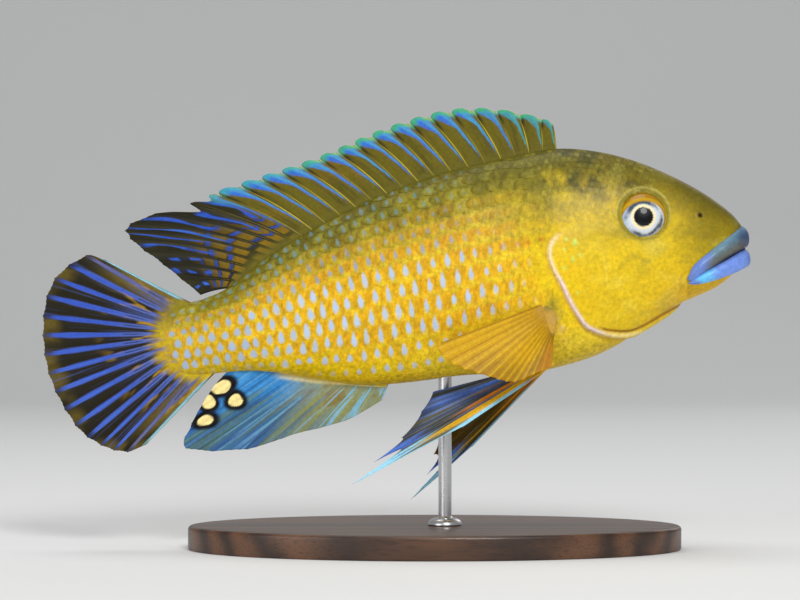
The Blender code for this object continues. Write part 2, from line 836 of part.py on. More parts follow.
def stand_base():
    """A flat oval base with a small chamfer round its top."""
    bpy.ops.mesh.primitive_cylinder_add(vertices=64, radius=0.5, depth=1.0)
    base = bpy.context.object
    base.name = "stand_base"
    base.scale = (BASE_LENGTH * MM, BASE_WIDTH * MM, BASE_HEIGHT * MM)
    bpy.ops.object.transform_apply(location=False, rotation=False, scale=True)
    base.location = (BASE_CENTRE * MM, 0, BASE_HEIGHT / 2 * MM)
    bevel = base.modifiers.new("chamfer", "BEVEL")
    bevel.width = BASE_CHAMFER * MM
    bevel.segments = 1
    bevel.limit_method = "ANGLE"
    return bake(base)


def pitch_matrix():
    turn = Matrix.Rotation(-math.radians(PITCH_DEGREES), 4, "Y")
    return Matrix.Translation((0, 0, AXIS_HEIGHT * MM)) @ turn


def stand_rod():
    """A thin rod from the base up to the belly, turned in one piece with its foot."""
    foot = BASE_HEIGHT + GAP
    top = AXIS_HEIGHT
    profile = (
        (0.0, top),
        (ROD_RADIUS, top),
        (ROD_RADIUS, foot + COLLAR_HEIGHT),
        (COLLAR_RADIUS * 0.86, foot + COLLAR_HEIGHT * 0.81),
        (COLLAR_RADIUS, foot + COLLAR_HEIGHT / 2),
        (COLLAR_RADIUS, foot),
        (0.0, foot),
    )
    mesh = bpy.data.meshes.new("stand_rod")
    edges = [(k, k + 1) for k in range(len(profile) - 1)]
    mesh.from_pydata([(x * MM, 0, z * MM) for x, z in profile], edges, [])
    rod = new_object("stand_rod", mesh)
    screw = rod.modifiers.new("turn", "SCREW")
    screw.steps = 24
    screw.render_steps = 24
    screw.use_merge_vertices = True
    screw.merge_threshold = 0.00001
    rod.location = (ROD_ALONG * MM, 0, 0)
    rod = bake(rod)
    belly = body("belly", grow=GAP)
    belly.data.transform(pitch_matrix())
    return keep_largest(combine(rod, [belly], "DIFFERENCE"))


def finish(name, colour, roughness, metallic=0.0):
    material = bpy.data.materials.new(name)
    material.use_nodes = True
    shader = material.node_tree.nodes["Principled BSDF"]
    shader.inputs["Base Color"].default_value = (*colour, 1.0)
    shader.inputs["Roughness"].default_value = roughness
    shader.inputs["Metallic"].default_value = metallic
    return material


def build():
    discard(list(bpy.data.objects))
    flank = finish("yellow flank", (0.87, 0.52, 0.02), 0.35)
    brow = finish("olive yellow head", (0.60, 0.40, 0.03), 0.35)
    lips = finish("blue lips", (0.12, 0.28, 0.60), 0.35)
    iris = finish("silver eye", (0.70, 0.70, 0.62), 0.12)
    sail = finish("olive and blue fin", (0.12, 0.14, 0.10), 0.4)
    dark_fin = finish("dark blue fin", (0.03, 0.04, 0.22), 0.4)
    clear_fin = finish("orange fin", (0.70, 0.38, 0.05), 0.4)
    walnut = finish("dark walnut", (0.08, 0.04, 0.02), 0.45)
    steel = finish("brushed steel", (0.55, 0.55, 0.56), 0.3, 1.0)

    spiny, soft = dorsal_fin()
    fish = {
        head(): brow,
        trunk(): flank,
        tail_stalk(): flank,
        gill_cover("gill_cover_right", -1): brow,
        gill_cover("gill_cover_left", 1): brow,
        eyeball("eye_right", -1): iris,
        eyeball("eye_left", 1): iris,
        upper_lip("upper_lip"): lips,
        lower_lip("lower_lip"): lips,
        spiny: sail,
        soft: dark_fin,
        caudal_fin(): dark_fin,
        anal_fin(): dark_fin,
        pelvic_fin("pelvic_fin_right", -1): dark_fin,
        pelvic_fin("pelvic_fin_left", 1): dark_fin,
        pectoral_fin("pectoral_fin_right", -1): clear_fin,
        pectoral_fin("pectoral_fin_left", 1): clear_fin,
    }
    stand = {stand_base(): walnut, stand_rod(): steel}

    axis = bpy.data.objects.new("fish_axis", None)
    bpy.context.scene.collection.objects.link(axis)
    axis.matrix_world = pitch_matrix()
    collection = bpy.data.collections.new("mbuna cichlid on a stand")
    bpy.context.scene.collection.children.link(collection)
    for obj, material in {**fish, **stand}.items():
        obj.data.materials.clear()
        obj.data.materials.append(material)
        obj.data.shade_smooth()
        obj.data.set_sharp_from_angle(angle=math.radians(40))
        bpy.context.scene.collection.objects.unlink(obj)
        collection.objects.link(obj)
    for obj in fish:
        obj.parent = axis


build()
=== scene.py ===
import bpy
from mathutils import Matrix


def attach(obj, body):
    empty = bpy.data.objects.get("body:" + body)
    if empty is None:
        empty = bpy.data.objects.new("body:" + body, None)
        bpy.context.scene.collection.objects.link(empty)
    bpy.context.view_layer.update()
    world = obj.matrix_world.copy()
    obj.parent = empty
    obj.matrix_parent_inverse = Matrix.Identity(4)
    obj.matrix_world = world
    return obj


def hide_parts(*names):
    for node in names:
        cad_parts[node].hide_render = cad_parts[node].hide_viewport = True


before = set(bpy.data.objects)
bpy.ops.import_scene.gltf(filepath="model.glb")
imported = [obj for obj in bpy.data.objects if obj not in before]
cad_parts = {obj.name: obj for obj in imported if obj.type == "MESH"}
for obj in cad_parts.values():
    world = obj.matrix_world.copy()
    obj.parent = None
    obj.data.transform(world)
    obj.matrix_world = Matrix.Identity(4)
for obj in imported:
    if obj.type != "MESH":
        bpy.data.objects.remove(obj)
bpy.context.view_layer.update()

import math

import bmesh
import bpy
import numpy as np
from mathutils import Matrix, Vector


# The room: a pale sweep of floor and wall in a small studio. The fish is seen side on from about two
# thirds of a metre away, with the camera level with its flank.
MM = 0.001
CAMERA_DISTANCE = 0.633
CAMERA_LENS = 135.0
CAMERA_SIDE = 0.0007
CAMERA_HEIGHT = 0.0525
PALE_GREY = (0.80, 0.80, 0.79)
FLOOR_WIDTH = 4.0
FLOOR_FRONT = -1.6
WALL_FOOT = 0.9
WALL_HEIGHT = 2.4
SWEEP_RADIUS = 0.5
COVE_STEPS = 12
LIGHT_AIM = (0.0, 0.0, 0.055)
SOFTBOXES = (
    ("key softbox", (0.20, -0.85, 0.60), 0.32, 5.2),
    ("fill softbox", (-0.7, -0.7, 0.25), 0.6, 2.2),
    ("top softbox", (-0.1, 0.15, 0.95), 0.7, 3.4),
    ("back softbox", (0.5, 0.8, 0.5), 0.5, 0.8),
)
AIR_COLOUR, AIR_STRENGTH = (0.95, 0.97, 1.0, 1.0), 0.32

bpy.context.scene.view_settings.view_transform = "Standard"

lens = bpy.data.cameras.new("side camera")
lens.lens = CAMERA_LENS
lens.clip_start = 0.01
camera = bpy.data.objects.new("side camera", lens)
camera.location = (CAMERA_SIDE, -CAMERA_DISTANCE, CAMERA_HEIGHT)
camera.rotation_euler = (math.radians(90), 0, 0)
bpy.context.scene.collection.objects.link(camera)
bpy.context.scene.camera = camera


def plain_material(name, colour, roughness):
    """A new material with its node tree and shader, its colour and roughness set on the shader."""
    material = bpy.data.materials.new(name)
    material.use_nodes = True
    tree = material.node_tree
    shader = tree.nodes["Principled BSDF"]
    shader.inputs["Base Color"].default_value = (*colour, 1.0)
    shader.inputs["Roughness"].default_value = roughness
    return material, tree, shader


def studio_sweep():
    """Floor, quarter-round cove and back wall in one sheet."""
    profile = [(FLOOR_FRONT, 0.0)]
    for step in range(COVE_STEPS + 1):
        turn = math.radians(90 * step / COVE_STEPS)
        profile.append((WALL_FOOT + SWEEP_RADIUS * math.sin(turn), SWEEP_RADIUS * (1 - math.cos(turn))))
    profile.append((WALL_FOOT + SWEEP_RADIUS, WALL_HEIGHT))
    points = [(side, y, z) for y, z in profile for side in (-FLOOR_WIDTH / 2, FLOOR_WIDTH / 2)]
    faces = [(2 * k, 2 * k + 1, 2 * k + 3, 2 * k + 2) for k in range(len(profile) - 1)]
    mesh = bpy.data.meshes.new("studio_sweep")
    mesh.from_pydata(points, [], faces)
    mesh.shade_smooth()
    sweep = bpy.data.objects.new("studio_sweep", mesh)
    bpy.context.scene.collection.objects.link(sweep)
    mesh.materials.append(plain_material("pale paper", PALE_GREY, 0.9)[0])


def soft_light(name, place, size, power):
    """A round soft light, turned to the fish."""
    light = bpy.data.lights.new(name, "AREA")
    light.shape = "DISK"
    light.size = size
    light.energy = power
    lamp = bpy.data.objects.new(name, light)
    lamp.location = place
    lamp.rotation_euler = (Vector(LIGHT_AIM) - Vector(place)).to_track_quat("-Z", "Y").to_euler()
    bpy.context.scene.collection.objects.link(lamp)


studio_sweep()
for softbox in SOFTBOXES:
    soft_light(*softbox)
world = bpy.data.worlds.new("studio air")
world.use_nodes = True
air = world.node_tree.nodes["Background"]
air.inputs["Color"].default_value = AIR_COLOUR
air.inputs["Strength"].default_value = AIR_STRENGTH
bpy.context.scene.world = world


# The skin: one smooth hide from the stalk of the tail to the snout, drawn tight over flesh and skull. The
# gill covers, the cheek's plates, the nostrils and the folds of the throat are all raised or sunk in it.
PITCH_DEGREES = 9.5
AXIS_HEIGHT = 50.7
BODY_SECTIONS = (
    (-50.8, 8.2, -5.8, 1.0, 0.45),
    (-46.0, 8.5, -6.9, 0.8, 2.1),
    (-40.0, 8.8, -7.3, 0.7, 3.4),
    (-34.0, 10.5, -7.8, 0.8, 4.4),
    (-28.0, 13.9, -9.0, 1.0, 5.3),
    (-20.0, 17.6, -11.6, 1.4, 6.5),
    (-10.0, 21.2, -14.8, 1.8, 7.8),
    (0.0, 24.0, -15.9, 2.0, 8.7),
    (12.0, 26.4, -16.4, 1.8, 9.4),
    (26.0, 27.6, -18.1, 1.2, 9.8),
    (38.0, 27.9, -17.2, 1.0, 9.8),
    (46.0, 26.2, -15.0, 1.4, 9.5),
    (54.0, 22.9, -12.1, 2.2, 8.8),
    (61.0, 18.7, -8.6, 2.8, 7.5),
    (67.0, 14.2, -6.9, 2.8, 6.0),
    (71.0, 10.4, -4.8, 2.4, 4.5),
    (73.4, 7.6, -2.7, 2.0, 2.9),
    (74.5, 5.6, -1.1, 2.0, 1.4),
)
TAIL_END, SNOUT_END = BODY_SECTIONS[0][0], BODY_SECTIONS[-1][0]
BACK_ROUNDNESS, FOREHEAD_ROUNDNESS, BELLY_ROUNDNESS = 1.8, 2.15, 2.05
FOREHEAD_START, FOREHEAD_LENGTH = 36.0, 20.0
TAIL_END_ROUNDING, TAIL_END_LENGTH = 2.6, 8.8
SKIN_DEPTH = 0.15
GILL_FLARE, GILL_FLARE_FRONT, GILL_FLARE_LENGTH = 0.6, 46.0, 10.0
TRUNK_STATIONS, HEAD_STATIONS, HEAD_START, RING_STATIONS = 170, 222, 32.0, 240
UNWRAP_SIZE = 130.0
TAIL_CAP, SNOUT_CAP = 0.25, 0.3
GILL_EDGE = (
    (45.0, 12.6), (41.0, 12.2), (37.2, 10.8), (35.6, 10.0), (33.6, 8.0), (32.9, 5.6), (33.3, 2.6),
    (34.4, -0.5), (35.4, -4.2), (36.8, -7.7), (38.2, -10.3), (40.6, -12.0), (43.9, -13.4), (48.0, -13.9),
    (53.0, -13.6),
)
THROAT_FOLD = ((40.4, -10.2), (42.5, -11.6), (46.9, -12.6), (50.6, -12.1), (55.1, -10.4), (59.1, -9.1), (62.5, -8.6))
CHEEK_PLATE = (
    (46.6, 9.6), (44.8, 6.6), (44.0, 2.4), (43.9, -2.0), (44.9, -5.8), (47.6, -8.4), (52.4, -9.2), (57.4, -7.6),
)
JAW_FOLD = ((61.6, -1.6), (60.0, -3.2), (59.6, -5.2), (60.6, -6.8), (63.6, -7.2))
EYE_ALONG, EYE_HEIGHT, EYE_FACING = 54.0, 10.85, (0.10, 1.0, 0.20)
EYE_OPENING = 4.62
NOSTRIL_ALONG, NOSTRIL_HEIGHT, NOSTRIL_RADIUS = 65.9, 8.8, 0.6
MOUTH_CORNER, MOUTH_LENGTH = 61.4, 13.2
MOUTH_LINE_CORNER, MOUTH_LINE_RISE = -4.3, 4.8


def smooth_rows(rows, places):
    """Reads the smooth curve through rows at many places. Each row is its place and then its values."""
    table = np.asarray(rows, float)
    knots, values = table[:, 0], table[:, 1:]
    places = np.clip(np.asarray(places, float), knots[0], knots[-1])
    span = np.clip(np.searchsorted(knots, places, side="left") - 1, 0, len(knots) - 2)
    before, after = np.maximum(span - 1, 0), np.minimum(span + 2, len(knots) - 1)
    width = knots[span + 1] - knots[span]
    t = ((places - knots[span]) / width)[..., None]
    near, far = values[span], values[span + 1]
    start_slope = (far - values[before]) / (knots[span + 1] - knots[before])[..., None] * width[..., None]
    end_slope = (values[after] - near) / (knots[after] - knots[span])[..., None] * width[..., None]
    return (
        near * (2 * t**3 - 3 * t**2 + 1)
        + start_slope * (t**3 - 2 * t**2 + t)
        + far * (3 * t**2 - 2 * t**3)
        + end_slope * (t**3 - t**2)
    )


def smooth_line(points, steps=8):
    """A fine line through a few corner points."""
    rows = [(number, *point) for number, point in enumerate(points)]
    return smooth_rows(rows, np.linspace(0, len(points) - 1, (len(points) - 1) * steps + 1))


def ease(low, high, value):
    """Rises smoothly from 0 at low to 1 at high, or falls where low is the higher of the two."""
    share = np.clip((value - low) / (high - low), 0.0, 1.0)
    return share * share * (3 - 2 * share)


def hump(value, middle, width):
    """1 at the middle, falling away softly on both sides."""
    return np.exp(-(((value - middle) / width) ** 2))


def round_patch(along, height, place, size):
    """A soft oval patch in side view, 1 in its middle."""
    return np.exp(-np.hypot((along - place[0]) / size[0], (height - place[1]) / size[1]) ** 2)


def body_lines(along):
    """The lines of the body along it: its back, its belly, its widest height and its half width."""
    section = smooth_rows(BODY_SECTIONS, along)
    return tuple(section[..., k] for k in range(4))


def upper_roundness(along):
    """How square the body's upper half is: rounder on the back than on the forehead."""
    share = np.clip((along - FOREHEAD_START) / FOREHEAD_LENGTH, 0, 1)
    return BACK_ROUNDNESS + (FOREHEAD_ROUNDNESS - BACK_ROUNDNESS) * share


def hide_points(along, angle, grow):
    """Points of the body's surface, by place along it and angle over the fish's left from the back."""
    back, belly, widest, half_width = body_lines(along)
    flare = GILL_FLARE * np.clip((GILL_FLARE_FRONT - along) / GILL_FLARE_LENGTH, 0, 1)
    half_width = half_width + flare * ease(25.0, 36.0, along)
    upper = np.cos(angle) >= 0
    rise = np.where(upper, back - widest, widest - belly) + grow
    roundness = np.where(upper, upper_roundness(along), BELLY_ROUNDNESS)
    across = np.abs(np.sin(angle)) ** (2 / roundness) * np.sign(np.sin(angle))
    upward = np.abs(np.cos(angle)) ** (2 / roundness) * np.sign(np.cos(angle))
    tail_share = np.clip((TAIL_END + TAIL_END_LENGTH - along) / TAIL_END_LENGTH, 0, 1)
    rounded = along + TAIL_END_ROUNDING * tail_share * upward**2
    return np.stack([rounded, (half_width + grow) * across, widest + rise * upward], axis=-1)


def side_of_body(along, height):
    """How far out the hide lies at a place in side view."""
    back, belly, widest, half_width = body_lines(along)
    upper = height > widest
    share = np.where(upper, (height - widest) / (back - widest), (widest - height) / (widest - belly))
    roundness = np.where(upper, upper_roundness(along), BELLY_ROUNDNESS)
    return half_width * np.clip(1 - np.clip(share, 0, 1) ** roundness, 0, None) ** (1 / roundness)


def line_distance(along, height, line):
    """Distance to a line in side view, with a sign: above zero on the line's left as it runs."""
    best = np.full(along.shape, 1e9)
    side = np.zeros(along.shape)
    for (x0, y0), (x1, y1) in zip(line[:-1], line[1:]):
        dx, dy = x1 - x0, y1 - y0
        share = np.clip(((along - x0) * dx + (height - y0) * dy) / (dx * dx + dy * dy), 0, 1)
        gap_x, gap_y = along - x0 - dx * share, height - y0 - dy * share
        gap = np.hypot(gap_x, gap_y)
        nearer = gap < best
        best = np.where(nearer, gap, best)
        side = np.where(nearer, dx * gap_y - dy * gap_x, side)
    return np.where(side >= 0, best, -best)


def groove(along, height, line, width):
    """1 in the middle of a drawn line, falling to 0 at its width, and fading out at both ends."""
    fine = smooth_line(line)
    near = ease(width, 0.0, np.abs(line_distance(along, height, fine)))
    for end in (fine[0], fine[-1]):
        near = near * ease(0.0, 2.5, np.hypot(along - end[0], height - end[1]))
    return near


def eye_place(along, height):
    """Distance from the eye's centre, 1 on the edge of its opening."""
    return np.hypot(along - EYE_ALONG, height - EYE_HEIGHT) / EYE_OPENING


def nostril_place(along, height):
    """Distance from the nostril's centre, 1 on its rim."""
    return np.hypot(along - NOSTRIL_ALONG, height - NOSTRIL_HEIGHT) / NOSTRIL_RADIUS


def mouth_gap(along, height):
    """How far above or below the line between the lips a place lies."""
    share = np.clip((along - MOUTH_CORNER) / MOUTH_LENGTH, 0, 1)
    return np.abs(height - (MOUTH_LINE_CORNER + MOUTH_LINE_RISE * share))


def hide_relief(along, height):
    """How far the hide stands out of the plain body, in millimetres."""
    gill = line_distance(along, height, smooth_line(GILL_EDGE))
    on_cover = ease(-0.12, 0.16, gill)
    relief = on_cover * (0.10 + 0.42 * ease(7.0, 0.2, gill))
    relief = relief - 0.32 * (1 - on_cover) * ease(1.6, 0.2, -gill)
    relief = relief * ease(60.0, 46.0, along) * ease(12.0, 4.5, height) * ease(53.0, 46.0, along)
    relief = relief - 0.34 * groove(along, height, THROAT_FOLD, 0.55)
    relief = relief + 0.22 * groove(along, height + 0.75, THROAT_FOLD, 0.8)
    plate = line_distance(along, height, smooth_line(CHEEK_PLATE))
    step = ease(-0.5, 0.2, plate) * ease(5.0, 0.3, plate)
    near_plate = ease(10.0, 8.0, height) * ease(42.0, 43.6, along) * ease(58.0, 53.0, along)
    relief = relief + 0.09 * step * near_plate
    relief = relief - 0.10 * groove(along, height, JAW_FOLD, 0.9)
    eye = eye_place(along, height)
    brow = 0.3 + 0.7 * ease(-3.0, 2.0, height - EYE_HEIGHT)
    relief = relief + brow * (0.16 * hump(eye, 1.23, 0.05) - 0.16 * hump(eye, 1.12, 0.06))
    relief = relief + 0.10 * hump(eye, 1.02, 0.05) - 0.04 * hump(eye, 1.40, 0.14)
    relief = relief - 3.0 * ease(1.0, 0.86, eye)
    nostril = nostril_place(along, height)
    relief = relief - 0.75 * ease(1.0, 0.35, nostril) + 0.12 * hump(nostril, 1.35, 0.35)
    return relief - 1.1 * ease(0.9, 0.2, mouth_gap(along, height)) * ease(MOUTH_CORNER, 64.0, along)


def paint(red, green, blue):
    """A colour as a paint chart gives it, turned into the light that a shader wants."""
    chart = np.array([red, green, blue], float)
    return np.where(chart <= 0.04045, chart / 12.92, ((chart + 0.055) / 1.055) ** 2.4)


def layer(colour, over, amount):
    """Lays one colour over others by an amount from 0 to 1."""
    amount = np.clip(np.asarray(amount, float), 0, 1)[..., None]
    return colour * (1 - amount) + over * amount


def layers(colour, *coats):
    """Lays coats over a ground, one after the other. Each is its colour and its amount."""
    for over, amount in coats:
        colour = layer(colour, over, amount)
    return colour


def ripple(along, height, seed, size):
    """A soft cloudy value from -1 to 1, the same each run."""
    value = np.zeros(np.shape(along))
    for number, (turn, stretch) in enumerate(((0.3, 1.0), (1.4, 1.7), (2.3, 2.6), (4.1, 3.9), (5.2, 5.3))):
        phase = seed * 1.7 + number * 2.1
        wave = (along * math.cos(turn) + height * math.sin(turn)) * stretch / size
        value = value + np.sin(wave + phase + 0.8 * np.sin(wave * 0.61 + seed)) / (1 + number * 0.45)
    return value / 3.0


FLANK_YELLOW = paint(0.92, 0.79, 0.06)
WARM_ORANGE = paint(0.90, 0.62, 0.05)
PALE_YELLOW = paint(0.96, 0.86, 0.30)
BACK_OLIVE = paint(0.42, 0.39, 0.10)
NAPE_DARK = paint(0.26, 0.25, 0.08)
UPPER_GOLD = paint(0.66, 0.59, 0.09)
BROW_OLIVE = paint(0.38, 0.34, 0.07)
CHEEK_GOLD = paint(0.90, 0.76, 0.10)
SNOUT_GOLD = paint(0.58, 0.50, 0.07)
TEMPLE_GOLD = paint(0.77, 0.66, 0.10)
GILL_CREAM = paint(0.99, 0.90, 0.72)
GILL_LILAC = paint(0.95, 0.86, 0.88)
# Painted shade for the creases of the head and throat.
CREASE_SHADE_BROWN = paint(0.58, 0.34, 0.04)
FLECK_GREEN = paint(0.80, 0.90, 0.40)
GREY_SHADE = paint(0.66, 0.68, 0.38)
EYE_OLIVE = paint(0.50, 0.46, 0.11)
EYE_PALE = paint(0.76, 0.71, 0.34)
# Painted shade for pits and slits.
SLIT_SHADE = paint(0.12, 0.08, 0.10)
MOTTLE_OLIVE = paint(0.52, 0.48, 0.16)
FIN_PIT_LILAC = paint(0.80, 0.70, 0.55)
BASE_GOLD = paint(0.70, 0.54, 0.10)
TAIL_DUSK = paint(0.33, 0.41, 0.70)
PORE_RUST = paint(0.80, 0.46, 0.03)
GOLD_PATCHES = ((42.1, 13.1, 1.9, 1.1), (48.1, 16.4, 1.5, 1.6), (48.2, 13.3, 1.3, 1.5), (38.0, 17.0, 2.2, 1.2))
PORE_FIRST, PORE_STEP, PORE_HEIGHT = 23.8, 2.72, 9.25
COVER_FLECKS = (
    (37.2, 8.5, 0.55), (38.8, 7.5, 0.8), (37.8, 4.1, 0.5), (39.4, 4.6, 0.45), (35.7, 2.5, 0.45), (37.6, -3.0, 0.4),
    (36.4, 6.2, 0.4),
)


def hide_colours(along, height, cover_line=1.0):
    """The ground colours of head and body, the same on both sides and on scales and skin."""
    back, belly = body_lines(along)[:2]
    level = (height - belly) / (back - belly)
    cloud = ripple(along, height, 1.0, 5.5)
    fine = ripple(along, height, 2.0, 1.6)
    grain = ripple(along * 1.4, height * 0.35, 23.0, 1.0)
    pores = ease(0.2, 0.8, np.cos(2 * np.pi * (along - PORE_FIRST) / PORE_STEP))
    pores = pores * ease(0.55, 0.18, np.abs(height - PORE_HEIGHT))
    head = ease(36.0, 46.0, along)
    colour = layers(
        FLANK_YELLOW,
        (WARM_ORANGE, 0.14 + 0.20 * fine),
        (UPPER_GOLD, ease(0.52, 0.84, level + 0.05 * cloud) * 0.9),
        (BACK_OLIVE, ease(0.66, 0.97, level + 0.06 * cloud + 0.08 * fine)),
        (NAPE_DARK, 0.38 * ease(0.0, 0.7, grain) * ease(0.50, 0.72, level)),
        (FLANK_YELLOW, 0.30 * ease(0.1, 0.8, -grain) * ease(0.45, 0.60, level) * ease(0.92, 0.72, level)),
        (PALE_YELLOW, 0.5 * ease(0.22, 0.03, level) * ease(-20.0, 20.0, along)),
        (PORE_RUST, 0.75 * pores * ease(21.5, 23.5, along) * ease(33.6, 32.4, along)),
    )
    blotch = ripple(along * 0.9, height * 1.1, 17.0, 1.9) + 0.35 * ripple(along, height, 18.0, 0.7)
    face = layers(
        CHEEK_GOLD,
        (SNOUT_GOLD, ease(55.0, 68.0, along) * ease(-4.0, 5.0, height)),
        (TEMPLE_GOLD, 0.85 * ease(3.5, 10.0, height) * ease(62.0, 56.0, along)),
        (BROW_OLIVE, ease(0.62, 0.95, level + 0.05 * cloud) * 0.95),
        (GREY_SHADE, 0.34 * ease(0.1, 0.9, ripple(along, height, 3.0, 3.4))),
        (GREY_SHADE, 0.45 * round_patch(along, height, (38.6, 6.4), (2.6, 3.2))),
        (WARM_ORANGE, 0.32 * ease(0.4, 0.05, level) * ease(46.0, 60.0, along)),
        (MOTTLE_OLIVE, 0.40 * ease(0.0, 0.8, blotch) * ease(0.16, 0.42, level)),
        (PALE_YELLOW, 0.35 * ease(0.1, 0.8, -blotch) * ease(0.72, 0.45, level)),
    )
    armpit = round_patch(along, height, (33.8, -8.2), (1.7, 3.0))
    # Painted shadow on the skin at the root of the breast fin.
    fin_root_shadow = round_patch(along, height, (32.2, -4.8), (1.3, 2.0))
    tail_root = ease(-45.6, -49.6, along)
    brush = ripple(along * 0.8, height * 2.4, 16.0, 1.5)
    nape = ease(33.0, 40.0, along) * ease(62.0, 55.0, along) * ease(0.66, 0.80, level)
    gold = ease(30.0, 36.0, along) * ease(50.0, 46.0, along) * ease(0.56, 0.68, level) * ease(0.94, 0.84, level)
    colour = layers(
        colour,
        (face, head),
        (FIN_PIT_LILAC, 0.75 * armpit * ease(-0.1, 0.6, ripple(along, height, 19.0, 0.9))),
        (MOTTLE_OLIVE, 0.8 * fin_root_shadow),
        (UPPER_GOLD, 0.48 * ease(-24.0, -46.0, along)),
        (BASE_GOLD, tail_root * (0.35 + 0.25 * brush)),
        (TAIL_DUSK, 0.55 * tail_root * ease(0.15, 0.7, brush)),
        (NAPE_DARK, 0.85 * nape * ease(-0.15, 0.5, ripple(along, height, 4.0, 3.6) + 0.3 * fine)),
        (CHEEK_GOLD, 0.45 * gold * ease(0.0, 0.6, ripple(along * 1.6, height * 0.5, 5.0, 1.6))),
    )
    for patch in GOLD_PATCHES:
        colour = layer(colour, CHEEK_GOLD, 0.55 * round_patch(along, height, patch[:2], patch[2:]))
    gill = line_distance(along, height, smooth_line(GILL_EDGE))
    lower = ease(10.5, 8.5, height) * ease(56.0, 48.0, along) * cover_line
    edge = layer(GILL_CREAM, GILL_LILAC, ease(3.0, -1.0, height) * ease(46.0, 41.0, along))
    pale_line = hump(along - 0.03 * height, 44.1, 0.22) * ease(5.5, 4.0, height) * ease(-4.5, -2.0, height)
    colour = layers(
        colour,
        (edge, hump(gill, 0.30, 0.40) * lower),
        # Painted shade: brown darkening in the crease under the gill cover's edge, along the throat and jaw folds and
        # at the cheek plate's edge.
        (CREASE_SHADE_BROWN, hump(gill, -0.45, 0.30) * lower * 0.28),
        (CREASE_SHADE_BROWN, 0.8 * groove(along, height, THROAT_FOLD, 0.5)),
        (PALE_YELLOW, 0.6 * groove(along, height + 1.0, THROAT_FOLD, 0.8)),
        (CREASE_SHADE_BROWN, 0.15 * groove(along, height, JAW_FOLD, 0.9)),
        (CREASE_SHADE_BROWN, 0.08 * groove(along, height, CHEEK_PLATE, 0.7)),
        (PALE_YELLOW, 0.55 * pale_line),
    )
    for fleck_along, fleck_height, size in COVER_FLECKS:
        spot = np.hypot((along - fleck_along) / 0.8, height - fleck_height) / size
        colour = layer(colour, FLECK_GREEN, 0.85 * ease(1.4, 0.6, spot + 0.3 * fine))
    eye = eye_place(along, height)
    pale_rim = 0.2 + 0.8 * ease(-3.0, 2.0, height - EYE_HEIGHT)
    return layers(
        colour,
        (EYE_OLIVE, hump(eye, 1.10, 0.11) * 0.80),
        (EYE_PALE, hump(eye, 1.25, 0.06) * 0.65 * pale_rim),
        # Painted shade in the nostril's pit and in the slit of the mouth.
        (SLIT_SHADE, 0.85 * ease(1.1, 0.5, nostril_place(along, height))),
        (SLIT_SHADE, ease(1.3, 0.5, mouth_gap(along, height)) * ease(62.0, 64.0, along)),
    )


def pitch_matrix():
    """Sets the fish's own frame nose up over the stand."""
    turn = Matrix.Rotation(-math.radians(PITCH_DEGREES), 4, "Y")
    return Matrix.Translation((0, 0, AXIS_HEIGHT * MM)) @ turn


def fish_mesh(name, points, faces):
    """A mesh from points in the fish's own frame, in millimetres, set nose up over the stand."""
    mesh = bpy.data.meshes.new(name)
    mesh.from_pydata(np.asarray(points, float) * MM, [], faces)
    mesh.transform(pitch_matrix())
    mesh.shade_smooth()
    return mesh


def add_markings(mesh, colours, name="markings"):
    """Stores one colour for each point of a mesh."""
    attribute = mesh.attributes.new(name, "FLOAT_COLOR", "POINT")
    full = np.ones((len(mesh.vertices), 4), np.float32)
    full[:, :3] = np.clip(np.asarray(colours, np.float32).reshape(-1, 3), 0, 1)
    attribute.data.foreach_set("color", full.ravel())


def show(mesh, material, nodes):
    """Puts a finished piece of the fish in the scene, on the model's one body."""
    piece = bpy.data.objects.new(mesh.name, mesh)
    bpy.context.scene.collection.objects.link(piece)
    mesh.materials.clear()
    mesh.materials.append(material)
    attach(piece, "root")
    if nodes:
        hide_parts(*nodes)
    return piece


def wire(tree, node, sockets):
    """Sets each input of a node that is named to a value, or links it to another node's output."""
    for name, value in sockets.items():
        if isinstance(value, bpy.types.NodeSocket):
            tree.links.new(value, node.inputs[name])
        else:
            node.inputs[name].default_value = value
    return node


def add_node(tree, kind, sockets, **settings):
    """A new node with its settings and inputs."""
    node = tree.nodes.new(kind)
    for name, value in settings.items():
        setattr(node, name, value)
    return wire(tree, node, sockets)


def object_place(tree):
    """The place on the object, in metres."""
    return add_node(tree, "ShaderNodeTexCoord", {}).outputs["Object"]


def noise(tree, place, scale, detail=2.0, roughness=0.5):
    """Cloudy noise, from 0 to 1."""
    sockets = {"Vector": place, "Scale": scale, "Detail": detail, "Roughness": roughness}
    return add_node(tree, "ShaderNodeTexNoise", sockets).outputs["Fac"]


def remap(tree, value, low, high, start=0.0, end=1.0, **settings):
    """A value moved from the span between start and end to the span between low and high."""
    sockets = {"Value": value, "From Min": start, "From Max": end, "To Min": low, "To Max": high}
    return add_node(tree, "ShaderNodeMapRange", sockets, **settings).outputs["Result"]


def scaled(tree, vector, factor):
    """A colour or vector times a value."""
    return add_node(tree, "ShaderNodeVectorMath", {0: vector, "Scale": factor}, operation="SCALE").outputs["Vector"]


def attribute_of(tree, name, output):
    """A value that the mesh carries under a name."""
    return add_node(tree, "ShaderNodeAttribute", {}, attribute_name=name).outputs[output]


def bump(tree, height, strength, depth):
    """Fine relief from a height, as deep as so many millimetres."""
    sockets = {"Height": height, "Strength": strength, "Distance": depth * MM}
    return add_node(tree, "ShaderNodeBump", sockets).outputs["Normal"]


WET_SPECULAR, WET_COAT_ROUGHNESS = 0.16, 0.25
PORE_GRAIN, PORE_DEPTH = 3.2, 0.15


